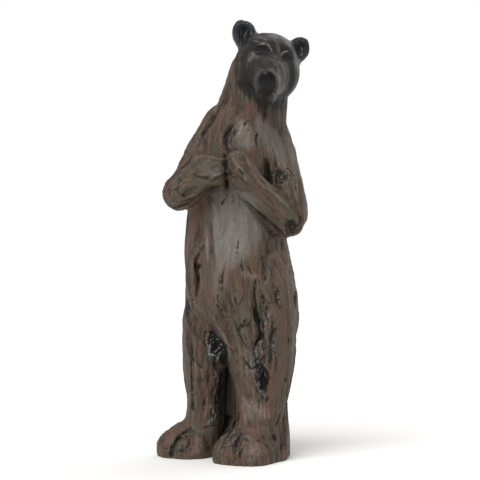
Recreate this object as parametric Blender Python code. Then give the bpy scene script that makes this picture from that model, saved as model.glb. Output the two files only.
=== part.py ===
"""Standing bear statue, cast in one piece from a carving in driftwood.

The bear's face looks along -Y, its left side is +X and its soles lie on Z = 0. From the chest down
it is turned some 30 degrees to its right. Everything is laid out in hundredths of the statue's
height, so a place such as (6, -2, 89) is 89 % of the way up.
"""

import math

import bmesh
import bpy
import numpy as np
from mathutils import Matrix, Vector
from mathutils.bvhtree import BVHTree

HEIGHT = 0.90  # soles to the tip of the higher ear, in metres
UNIT = HEIGHT / 100.0

SKIN_CELL = 0.50  # cell of the skin that fuses the masses
SOFTEN_STEPS = 8  # passes that round the seams between the masses
TRIANGLES = 9000  # faces of the finished solid, near enough
RING_SIDES = 28
RING_STEPS = 4  # rings from one station to the next
CUT_STEPS = 10  # presses from one point of a cut to the next
REACH = 60.0  # how far off a cut's line of sight starts

# Limbs: the way a ring's width lies, then stations of centre x, y, z, half width, half depth.
LIMBS = {
    "trunk": ((1.0, 0.0, 0.0), (
        (0.0, 2.8, 29.0, 11.8, 9.6),
        (0.4, 2.4, 35.0, 13.0, 10.8),
        (-0.1, 1.4, 42.0, 12.3, 10.6),
        (-0.9, 0.6, 48.0, 11.7, 9.8),
        (-0.8, 0.6, 55.0, 11.2, 9.2),
        (-0.5, 1.1, 62.0, 11.0, 8.9),
        (0.2, 1.6, 68.5, 10.2, 8.6),
        (1.6, 1.7, 74.5, 9.4, 8.0),
        (2.9, 1.4, 79.5, 8.0, 7.3),
        (3.9, 0.8, 84.5, 7.2, 7.0),
        (4.9, 0.2, 88.5, 6.9, 6.8),
    )),
    "left_leg": ((1.0, 0.0, 0.0), (
        (5.0, -0.8, 2.0, 6.2, 8.8),
        (5.0, -1.0, 8.0, 6.0, 8.3),
        (4.9, -0.9, 13.0, 5.8, 7.5),
        (5.0, -1.0, 18.0, 6.8, 7.5),
        (4.9, -1.4, 23.0, 7.7, 8.4),
        (4.4, -1.6, 29.0, 8.2, 9.0),
        (3.8, -1.6, 36.0, 8.4, 9.0),
        (2.6, -1.4, 43.0, 8.2, 8.4),
    )),
    "right_leg": ((1.0, 0.0, 0.0), (
        (-8.0, 6.2, 2.0, 5.0, 6.6),
        (-8.0, 5.8, 8.0, 4.6, 6.2),
        (-7.9, 5.8, 13.0, 4.3, 5.6),
        (-8.1, 5.2, 18.0, 4.8, 6.4),
        (-7.9, 4.4, 24.0, 5.5, 7.3),
        (-7.2, 3.4, 31.0, 6.0, 7.8),
        (-5.8, 2.6, 37.0, 5.6, 7.2),
        (-4.6, 2.0, 43.0, 4.6, 6.4),
    )),
    "left_foot": ((1.0, -0.25, 0.0), (
        (7.3, 5.0, 2.4, 4.0, 6.4),
        (4.9, -0.8, 3.2, 5.9, 7.6),
        (1.8, -5.8, 2.0, 6.8, 6.0),
        (0.2, -8.6, 1.4, 7.0, 5.2),
    )),
    "right_foot": ((0.83, -0.55, 0.0), (
        (-4.8, 11.0, 2.4, 4.6, 5.4),
        (-8.2, 7.0, 2.8, 5.4, 6.4),
        (-11.8, 3.6, 2.2, 6.4, 5.7),
        (-13.2, 1.6, 1.8, 6.6, 4.9),
    )),
    "left_arm": ((1.0, 0.0, 0.2), (
        (7.3, 1.0, 74.0, 3.9, 4.8),
        (9.2, 0.4, 67.0, 4.0, 4.8),
        (10.6, -1.0, 60.0, 4.2, 4.6),
        (10.9, -3.0, 54.4, 4.2, 4.3),
        (6.4, -7.2, 57.8, 3.5, 3.5),
        (2.2, -9.6, 61.8, 3.4, 3.2),
        (1.0, -10.6, 64.6, 2.9, 2.9),
    )),
    "right_arm": ((1.0, 0.0, 0.2), (
        (-4.0, 1.6, 76.2, 4.5, 4.8),
        (-8.2, 1.2, 69.4, 4.2, 4.8),
        (-11.8, 0.0, 63.6, 3.5, 4.2),
        (-14.0, -2.0, 60.2, 3.7, 3.9),
        (-11.8, -6.2, 61.2, 3.5, 3.5),
        (-9.4, -9.2, 63.4, 3.0, 3.1),
        (-7.8, -10.2, 64.8, 2.6, 2.8),
    )),
    "muzzle": ((1.0, 0.0, 0.0), (
        (6.8, -3.0, 88.0, 5.6, 5.8),
        (6.5, -7.0, 86.6, 4.5, 5.0),
        (6.1, -10.4, 84.8, 3.4, 4.1),
        (5.95, -12.2, 84.0, 2.8, 3.5),
    )),
}
# Rounded masses: centre, radii, roll in degrees about the way the face looks, and how square the
# mass is: 2 is an egg, 4 a block with soft corners.
MASSES = {
    "skull": ((6.4, -0.8, 90.0), (7.2, 7.4, 6.9), 12.0, 2.0),
    "left_cheek": ((10.0, -2.4, 86.8), (3.4, 4.8, 5.0), 14.0, 2.0),
    "right_cheek": ((2.0, -2.2, 87.4), (4.4, 4.8, 5.4), 12.0, 2.0),
    "right_brow": ((4.8, -5.2, 93.6), (3.2, 2.4, 1.6), 14.0, 2.0),
    "left_brow": ((10.0, -4.6, 92.4), (2.4, 2.2, 1.5), 26.0, 2.0),
    "right_ear": ((0.9, 0.2, 96.6), (2.8, 1.9, 3.5), -14.0, 2.3),
    "left_ear": ((13.4, 0.6, 93.2), (2.5, 1.9, 3.1), 24.0, 2.3),
    "jaw": ((6.0, -9.0, 82.6), (2.7, 4.2, 2.8), 4.0, 2.2),
    "nose": ((5.95, -13.6, 85.0), (2.1, 1.5, 2.3), 6.0, 2.8),
    "left_seat": ((6.8, 4.6, 32.0), (6.8, 6.6, 10.5), 0.0, 2.0),
    "right_seat": ((-3.8, 7.2, 31.5), (6.6, 5.6, 10.5), 0.0, 2.0),
    "belly": ((-1.6, -2.4, 42.0), (10.8, 8.4, 15.0), 0.0, 2.0),
    "chest": ((0.8, -2.6, 67.0), (8.0, 6.0, 10.4), 0.0, 2.0),
    "hump": ((1.8, 4.6, 71.0), (7.8, 5.6, 11.0), -14.0, 2.0),
    "left_paw": ((0.1, -12.0, 65.2), (3.0, 2.5, 4.5), -8.0, 2.8),
    "right_paw": ((-7.0, -10.8, 65.3), (3.9, 2.8, 3.2), 8.0, 4.0),
    "heel": ((7.4, 4.0, 2.0), (3.9, 5.4, 10.0), 0.0, 3.2),
    "web": ((-1.0, 8.6, 12.0), (6.6, 3.8, 21.0), 0.0, 2.0),
}
# Carving: each cut is pressed in along the way it faces (0 is from the front, 90 from the bear's
# left, 180 from the back), through points of: across, height, half width, depth.
CUTS = {
    "right_ear_cup": (0, ((0.9, 97.2, 2.0, 1.6), (1.0, 95.6, 1.9, 1.6))),
    "left_ear_cup": (0, ((13.6, 93.8, 1.6, 1.5), (13.2, 92.2, 1.5, 1.5))),
    "right_eye": (0, ((3.6, 92.0, 1.2, 0.7), (5.4, 92.0, 1.3, 0.9), (6.8, 91.2, 1.2, 1.0))),
    "left_eye": (0, ((9.0, 90.0, 1.1, 0.9), (10.8, 90.6, 1.3, 0.8))),
    "brow_furrow": (0, ((7.6, 95.0, 0.9, 0.3), (7.9, 91.6, 1.0, 0.6))),
    "mouth": (0, ((4.2, 81.8, 0.7, 0.5), (5.9, 82.1, 0.8, 1.1), (7.6, 81.8, 0.7, 0.5))),
    "neck_split": (0, ((-3.2, 83.0, 0.7, 0.5), (-6.4, 77.0, 0.9, 0.9), (-9.6, 71.0, 0.7, 0.5))),
    "breast_hollow": (0, ((-1.4, 75.2, 0.9, 0.8), (-3.0, 72.6, 1.7, 1.4), (-3.4, 70.0, 1.2, 1.0))),
    "paw_gap": (0, ((-3.2, 68.6, 0.9, 1.4), (-3.1, 65.4, 0.9, 2.0), (-2.9, 61.6, 0.9, 1.6))),
    "arm_pocket": (0, ((5.6, 67.2, 1.4, 1.2), (5.8, 64.0, 2.0, 2.6), (6.4, 62.6, 1.6, 2.2))),
    "forearm_hollow": (0, ((-12.6, 59.6, 1.1, 0.8), (-11.4, 60.6, 1.4, 1.2), (-9.8, 61.6, 1.0, 0.7))),
    "elbow_knot": (0, ((11.0, 53.6, 1.5, 0.8), (11.4, 53.6, 1.5, 0.8))),
    "apron_fold": (0, (
        (-12.2, 41.0, 0.9, 0.4), (-10.6, 36.4, 1.3, 1.0),
        (-8.4, 32.4, 1.5, 1.4), (-6.0, 29.2, 1.6, 1.6),
    )),
    "crotch": (0, ((-6.2, 28.0, 1.5, 1.6), (-5.0, 25.6, 2.0, 2.6), (-3.2, 22.0, 1.6, 2.2))),
    "belly_split": (0, (
        (-9.2, 46.6, 0.6, 0.5), (-9.9, 44.2, 1.0, 1.6), (-9.3, 41.4, 1.0, 1.7), (-9.6, 37.6, 0.6, 0.6),
    )),
    "hip_split": (0, (
        (3.4, 40.6, 0.6, 0.5), (3.2, 36.4, 0.8, 1.0), (3.8, 32.4, 1.1, 1.7), (4.6, 29.2, 1.1, 1.5),
        (3.6, 26.6, 0.8, 0.7),
    )),
    "thigh_hollow": (0, (
        (3.2, 25.0, 1.2, 0.8), (4.2, 21.4, 1.9, 1.6), (5.2, 18.0, 1.7, 1.8), (5.6, 15.0, 0.9, 0.8),
    )),
    "right_foot_split": (0, ((-15.8, 0.8, 0.8, 0.8), (-14.6, 3.8, 0.9, 1.3), (-11.2, 6.8, 0.7, 0.7))),
    "left_foot_split": (0, ((-5.2, 3.8, 0.9, 0.9), (-3.8, 6.0, 1.1, 1.6), (-2.2, 8.4, 0.9, 0.9))),
    "left_toe_split": (0, ((0.0, 6.4, 0.6, 0.6), (-1.2, 3.6, 0.7, 0.9), (-0.8, 0.8, 0.7, 0.9))),
    "spine": (190, (
        (-2.0, 80.0, 1.2, 0.4), (-0.8, 70.0, 1.4, 0.8), (0.4, 58.0, 1.6, 1.1), (0.0, 46.0, 1.2, 0.5),
    )),
    "left_flank_split": (90, ((2.0, 48.0, 0.6, 0.4), (2.8, 42.0, 1.0, 1.3), (2.4, 35.0, 0.6, 0.5))),
    "right_flank_split": (270, ((-4.0, 50.0, 0.6, 0.5), (-3.2, 44.0, 1.0, 1.2), (-3.8, 38.0, 0.6, 0.5))),
    "rump_split": (200, ((-4.0, 33.0, 0.9, 0.8), (-3.6, 28.0, 1.2, 1.6), (-3.8, 22.0, 1.0, 1.0))),
}


def flowing(rows, steps):
    """The rows joined by a Catmull-Rom curve, in this many steps from each to the next."""
    rows = np.array(rows, float)
    padded = np.vstack([2 * rows[0] - rows[1], rows, 2 * rows[-1] - rows[-2]])
    joined = []
    for before, a, b, after in zip(padded, padded[1:], padded[2:], padded[3:]):
        for t in np.arange(steps) / steps:
            bend = 2 * before - 5 * a + 4 * b - after
            twist = 3 * a - before - 3 * b + after
            joined.append(a + 0.5 * t * ((b - before) + t * (bend + t * twist)))
    return np.vstack([*joined, rows[-1]])


def add_limb(bm, side, stations, round_steps=4):
    """Adds a closed skin through the stations. Its rings stand square to the path, with their
    half widths along `side`, and its ends are rounded."""
    rows = flowing(stations, RING_STEPS)
    centres, halves = rows[:, :3], rows[:, 3:]
    tangents = np.gradient(centres, axis=0)
    tangents /= np.linalg.norm(tangents, axis=1)[:, None]
    rings = []
    for centre, tangent, half in zip(centres, tangents, halves):
        across = np.array(side, float) - np.dot(side, tangent) * tangent
        across /= np.linalg.norm(across)
        rings.append((centre, across, np.cross(tangent, across), half))
    start, end = rings[0], rings[-1]
    for angle in np.linspace(0.0, math.pi / 2, round_steps + 1)[1:-1]:
        lift, shrink = math.sin(angle), math.cos(angle)
        top = end[0] + tangents[-1] * lift * min(end[3])
        rings.append((top, end[1], end[2], end[3] * shrink))
        foot = start[0] - tangents[0] * lift * min(start[3])
        rings.insert(0, (foot, start[1], start[2], start[3] * shrink))
    loops = []
    for centre, across, along, half in rings:
        turns = np.linspace(0.0, 2 * math.pi, RING_SIDES, endpoint=False)
        loops.append([
            bm.verts.new(centre + across * half[0] * math.cos(a) + along * half[1] * math.sin(a))
            for a in turns
        ])
    for low, high in zip(loops, loops[1:]):
        for i in range(RING_SIDES):
            j = (i + 1) % RING_SIDES
            bm.faces.new((low[i], low[j], high[j], high[i]))
    bm.faces.new(list(reversed(loops[0])))
    bm.faces.new(loops[-1])


def add_mass(bm, centre, radii, roll, squareness):
    """Adds an egg or a soft block, rolled in degrees about the way the face looks."""
    ball = bmesh.ops.create_uvsphere(
        bm, u_segments=RING_SIDES, v_segments=RING_SIDES // 2, radius=1.0
    )
    for vert in ball["verts"]:
        vert.co /= sum(abs(c) ** squareness for c in vert.co) ** (1.0 / squareness)
    place = Matrix.Translation(centre) @ Matrix.Rotation(math.radians(roll), 4, "Y")
    bmesh.ops.transform(bm, matrix=place @ Matrix.Diagonal((*radii, 1.0)), verts=ball["verts"])


def rough_masses():
    """All the masses of the figure in one mesh, each closed and overlapping the next."""
    bm = bmesh.new()
    for side, stations in LIMBS.values():
        add_limb(bm, side, stations)
    for mass in MASSES.values():
        add_mass(bm, *mass)
    bmesh.ops.recalc_face_normals(bm, faces=bm.faces)
    mesh = bpy.data.meshes.new("bear_masses")
    bm.to_mesh(mesh)
    bm.free()
    return mesh


def bake(obj):
    """Makes the object's mesh what its modifiers leave, and clears them."""
    graph = bpy.context.evaluated_depsgraph_get()
    mesh = bpy.data.meshes.new_from_object(obj.evaluated_get(graph))
    obj.modifiers.clear()
    obj.data = mesh


def fuse(obj):
    """Fuses the overlapping masses to one skin and rounds the seams between them."""
    skin = obj.modifiers.new("fuse", "REMESH")
    skin.mode = "VOXEL"
    skin.voxel_size = SKIN_CELL
    soften = obj.modifiers.new("soften", "SMOOTH")
    soften.factor = 0.5
    soften.iterations = SOFTEN_STEPS
    bake(obj)


def on_skin(tree, facing, cut):
    """The way a cut presses, and its points laid on the skin: rows of place, half width, depth."""
    turn = math.radians(facing)
    across = Vector((math.cos(turn), math.sin(turn), 0.0))
    inward = Vector((-math.sin(turn), math.cos(turn), 0.0))
    laid = []
    for u, height, half_width, depth in flowing(cut, CUT_STEPS):
        start = across * u + Vector((0.0, 0.0, height)) - inward * REACH
        place = tree.ray_cast(start, inward)[0]
        if place is not None:
            laid.append((place, half_width, depth))
    return inward, laid


def carve(obj):
    """Presses every cut into the skin: deepest along its middle, fading out at its half width."""
    mesh = obj.data
    bm = bmesh.new()
    bm.from_mesh(mesh)
    tree = BVHTree.FromBMesh(bm)
    bm.free()
    flat = np.empty(len(mesh.vertices) * 3)
    mesh.vertices.foreach_get("co", flat)
    points = flat.reshape(-1, 3)
    moved = points.copy()
    for facing, cut in CUTS.values():
        inward, laid = on_skin(tree, facing, cut)
        push = np.zeros(len(points))
        for place, half_width, depth in laid:
            gap = np.linalg.norm(points - place, axis=1) / half_width
            push = np.maximum(push, depth * np.clip(1.0 - gap**2, 0.0, 1.0) ** 2)
        moved += push[:, None] * np.array(inward)
    mesh.vertices.foreach_set("co", moved.ravel())
    mesh.update()


def thin_out(obj):
    """Brings the skin to about TRIANGLES faces, close together only where the form turns fast."""
    obj.data.calc_loop_triangles()
    thin = obj.modifiers.new("thin", "DECIMATE")
    thin.ratio = TRIANGLES / len(obj.data.loop_triangles)
    bake(obj)


def cut_flat(obj):
    """Cuts the feet off flat on the ground and closes the sole."""
    bm = bmesh.new()
    bm.from_mesh(obj.data)
    geometry = [*bm.verts, *bm.edges, *bm.faces]
    cut = bmesh.ops.bisect_plane(
        bm, geom=geometry, plane_co=(0, 0, 0), plane_no=(0, 0, 1), clear_inner=True
    )
    rim = [e for e in cut["geom_cut"] if isinstance(e, bmesh.types.BMEdge)]
    bmesh.ops.contextual_create(bm, geom=rim)
    bmesh.ops.recalc_face_normals(bm, faces=bm.faces)
    bm.to_mesh(obj.data)
    bm.free()


def centre(obj):
    """Moves the figure so that the middle of its box stands over the origin."""
    corners = [Vector(corner) for corner in obj.bound_box]
    middle = (corners[0] + corners[6]) / 2
    obj.data.transform(Matrix.Translation((-middle.x, -middle.y, 0.0)))


def driftwood_resin():
    """Satin painted casting resin, weathered brown."""
    material = bpy.data.materials.new("driftwood_resin")
    material.use_nodes = True
    shader = material.node_tree.nodes["Principled BSDF"]
    shader.inputs["Base Color"].default_value = (0.10, 0.075, 0.058, 1.0)
    shader.inputs["Roughness"].default_value = 0.5
    shader.inputs["Metallic"].default_value = 0.0
    return material


def main():
    for obj in list(bpy.data.objects):
        bpy.data.objects.remove(obj)
    bear = bpy.data.objects.new("bear_statue", rough_masses())
    bpy.context.scene.collection.objects.link(bear)
    fuse(bear)
    carve(bear)
    thin_out(bear)
    cut_flat(bear)
    centre(bear)
    bear.data.transform(Matrix.Scale(UNIT, 4))
    bear.data.materials.append(driftwood_resin())
    bear.data.shade_smooth()


if __name__ == "__main__":
    main()
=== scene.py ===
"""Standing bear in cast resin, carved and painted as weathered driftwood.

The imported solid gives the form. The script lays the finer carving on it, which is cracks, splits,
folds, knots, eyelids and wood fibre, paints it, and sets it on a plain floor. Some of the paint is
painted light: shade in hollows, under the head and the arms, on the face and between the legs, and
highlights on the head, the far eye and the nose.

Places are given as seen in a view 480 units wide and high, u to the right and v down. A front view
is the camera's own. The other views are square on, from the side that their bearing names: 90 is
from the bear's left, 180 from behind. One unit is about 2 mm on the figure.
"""

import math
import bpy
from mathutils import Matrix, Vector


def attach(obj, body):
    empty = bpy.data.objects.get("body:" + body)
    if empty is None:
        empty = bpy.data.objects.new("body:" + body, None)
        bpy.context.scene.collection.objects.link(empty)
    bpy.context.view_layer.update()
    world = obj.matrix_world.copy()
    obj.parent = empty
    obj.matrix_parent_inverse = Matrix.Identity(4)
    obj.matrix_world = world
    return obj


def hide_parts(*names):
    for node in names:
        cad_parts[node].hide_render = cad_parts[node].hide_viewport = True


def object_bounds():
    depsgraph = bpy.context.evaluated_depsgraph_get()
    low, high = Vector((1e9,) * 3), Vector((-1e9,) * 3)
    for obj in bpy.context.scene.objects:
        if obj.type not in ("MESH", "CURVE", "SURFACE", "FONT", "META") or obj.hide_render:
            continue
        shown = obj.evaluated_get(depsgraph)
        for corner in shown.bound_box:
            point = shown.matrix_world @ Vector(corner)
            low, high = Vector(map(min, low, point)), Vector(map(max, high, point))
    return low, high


bl_info = {
    "name": "Driftwood Bear",
    "version": (1, 0, 0),
    "blender": (4, 5, 0),
    "location": "View3D > Sidebar > Bear",
    "description": "Carves and paints a standing bear in driftwood-look resin",
    "category": "Object",
}

import bmesh
import bpy
import numpy as np
from bpy.props import FloatProperty, FloatVectorProperty, IntProperty, PointerProperty
from bpy.types import Operator, Panel, PropertyGroup
from mathutils import Vector
from mathutils.bvhtree import BVHTree

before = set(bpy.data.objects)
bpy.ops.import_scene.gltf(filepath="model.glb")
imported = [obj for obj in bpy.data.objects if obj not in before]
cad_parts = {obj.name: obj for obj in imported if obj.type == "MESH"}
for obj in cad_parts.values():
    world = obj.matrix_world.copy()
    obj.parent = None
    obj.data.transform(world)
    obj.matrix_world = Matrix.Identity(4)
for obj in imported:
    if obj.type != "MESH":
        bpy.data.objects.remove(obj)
CAD_LOW, CAD_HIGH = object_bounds()

# The camera and its view
EYE = Vector((0.01445, -3.20205, 0.46))
VIEW_SIDE = 480
VIEW_MIDDLE = (240.0, 233.8)  # where the line of sight meets the view
FOCAL = 1556.0  # distance of the view from the eye, in its own units
SENSOR_MM = 36.0
UNIT = 0.002057  # metres on the figure for one unit of a view
STAND_OFF = 1.0  # how far out a line of sight from the other sides starts

# The skin
MERGED = 1e-5  # corners of the solid that lie closer than this, in metres, are one
FULLNESS = 0.0009  # how far the rounded skin is let out again to the solid's own size
GRAIN_WAVER = 0.0035  # how far the fibres wander sideways
HEAD_FIBRES = 0.30  # how high the fibres of the head stand, as a share of the body's
FACES_MOST = 200000  # the figure stays below this many faces

# How a drawn line is laid on the skin
DRAW_STEP = 0.5  # units from one point of a line to the next
WIDE_STEPS = 8  # steps in the width of a wide line, whose points lie farther apart
THINNEST = 1.1  # width in units that a line has at least
EVENED = 9  # points over which the random waver of a ragged line is evened out
STRAY = 0.35  # how far a ragged line strays sideways for its width
STRAY_WIDTH = 3.0  # width in units above which it strays no farther
LEAN_STEPS = 5  # points to each side over which a line's way out of the skin is evened out
BURIED = 0.016  # how deep below a laid line it still reaches, at least
HOVER = 0.025  # how high above a laid line it still reaches, at least
NEAR = 1.4  # how many half widths round a line it reaches
FAR = 9.0  # stands for out of reach, in half widths
BATCH = 4000  # points that are measured against a line at a time

# How a line is cut: depth for its half width (below nought it stands up), whether its floor is
# round, and the paint that settles in it or catches on it.
STYLES = {
    "crack": (1.7, False, {"soot_wash_and_shade": 0.9, "smoke_wash_and_shade": 0.35}),
    "split": (1.3, True, {"soot_wash_and_shade": 1.0, "smoke_wash_and_shade": 0.5}),
    "crease": (0.6, True, {"soot_wash_and_shade": 0.45, "smoke_wash_and_shade": 0.5}),
    "fold": (0.5, True, {"smoke_wash_and_shade": 0.5}),
    "groove": (0.32, True, {"smoke_wash_and_shade": 0.35}),
    "swell": (-0.22, True, {}),
    "ridge": (-0.36, True, {"tan": 0.66}),
    "strand": (-0.42, True, {"silver_and_highlight": 0.55}),
    "rim": (-0.55, True, {"gloss": 1.0}),
    # its silver is a painted highlight along the lid's edge
    "lid": (-0.9, True, {"silver_and_highlight": 0.8}),
}

# Strokes that cut nothing: paint alone, or wear of the fibres. Most of the dark ones are painted shade,
# laid in hollows, under the head and the arms, between the legs and on sides turned from the light;
# the light rubs and sheens and some glints and dabs of silver are painted highlights on the head.
STROKES = {
    "ash": {"ash": 0.56}, "mist": {"ash": 0.42}, "rose": {"rose": 0.62}, "rust": {"rust": 0.62},
    "tan": {"tan": 0.5}, "silver_and_highlight": {"silver_and_highlight": 0.5}, "glint": {"silver_and_highlight": 0.42},
    "dark": {"soot_wash_and_shade": 0.85, "smoke_wash_and_shade": 1.0}, "murk": {"smoke_wash_and_shade": 0.85}, "smoke_wash_and_shade": {"smoke_wash_and_shade": 0.6},
    "shade": {"smoke_wash_and_shade": 0.38}, "slate": {"ash": 0.42, "smoke_wash_and_shade": 0.55}, "rub_and_highlight": {"rub_and_highlight": 0.72},
    "sheen": {"rub_and_highlight": 0.36}, "black": {"gloss": 1.0}, "rough": {"worn": 1.0},
}
STYLES |= {name: (0.0, True, paints) for name, paints in STROKES.items()}

# Where a stroke begins to thin out from the middle of its line and where it is gone, in half
# widths: most paints, the two that differ, the wear of the fibres, and what lies in a cut. A wash
# of smoke reaches far round a cut.
EDGE = (0.25, 1.1)
EDGES = {"gloss": (0.8, 1.1), "rub_and_highlight": (0.0, 1.3)}
WORN_EDGE = (0.3, 1.2)
CUT_EDGE = (0.5, 1.05)
SMOKE_EDGE = (0.4, 2.6)
SETTLES = 0.5  # lines cut deeper than this for their half width hold paint in their floor

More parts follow.
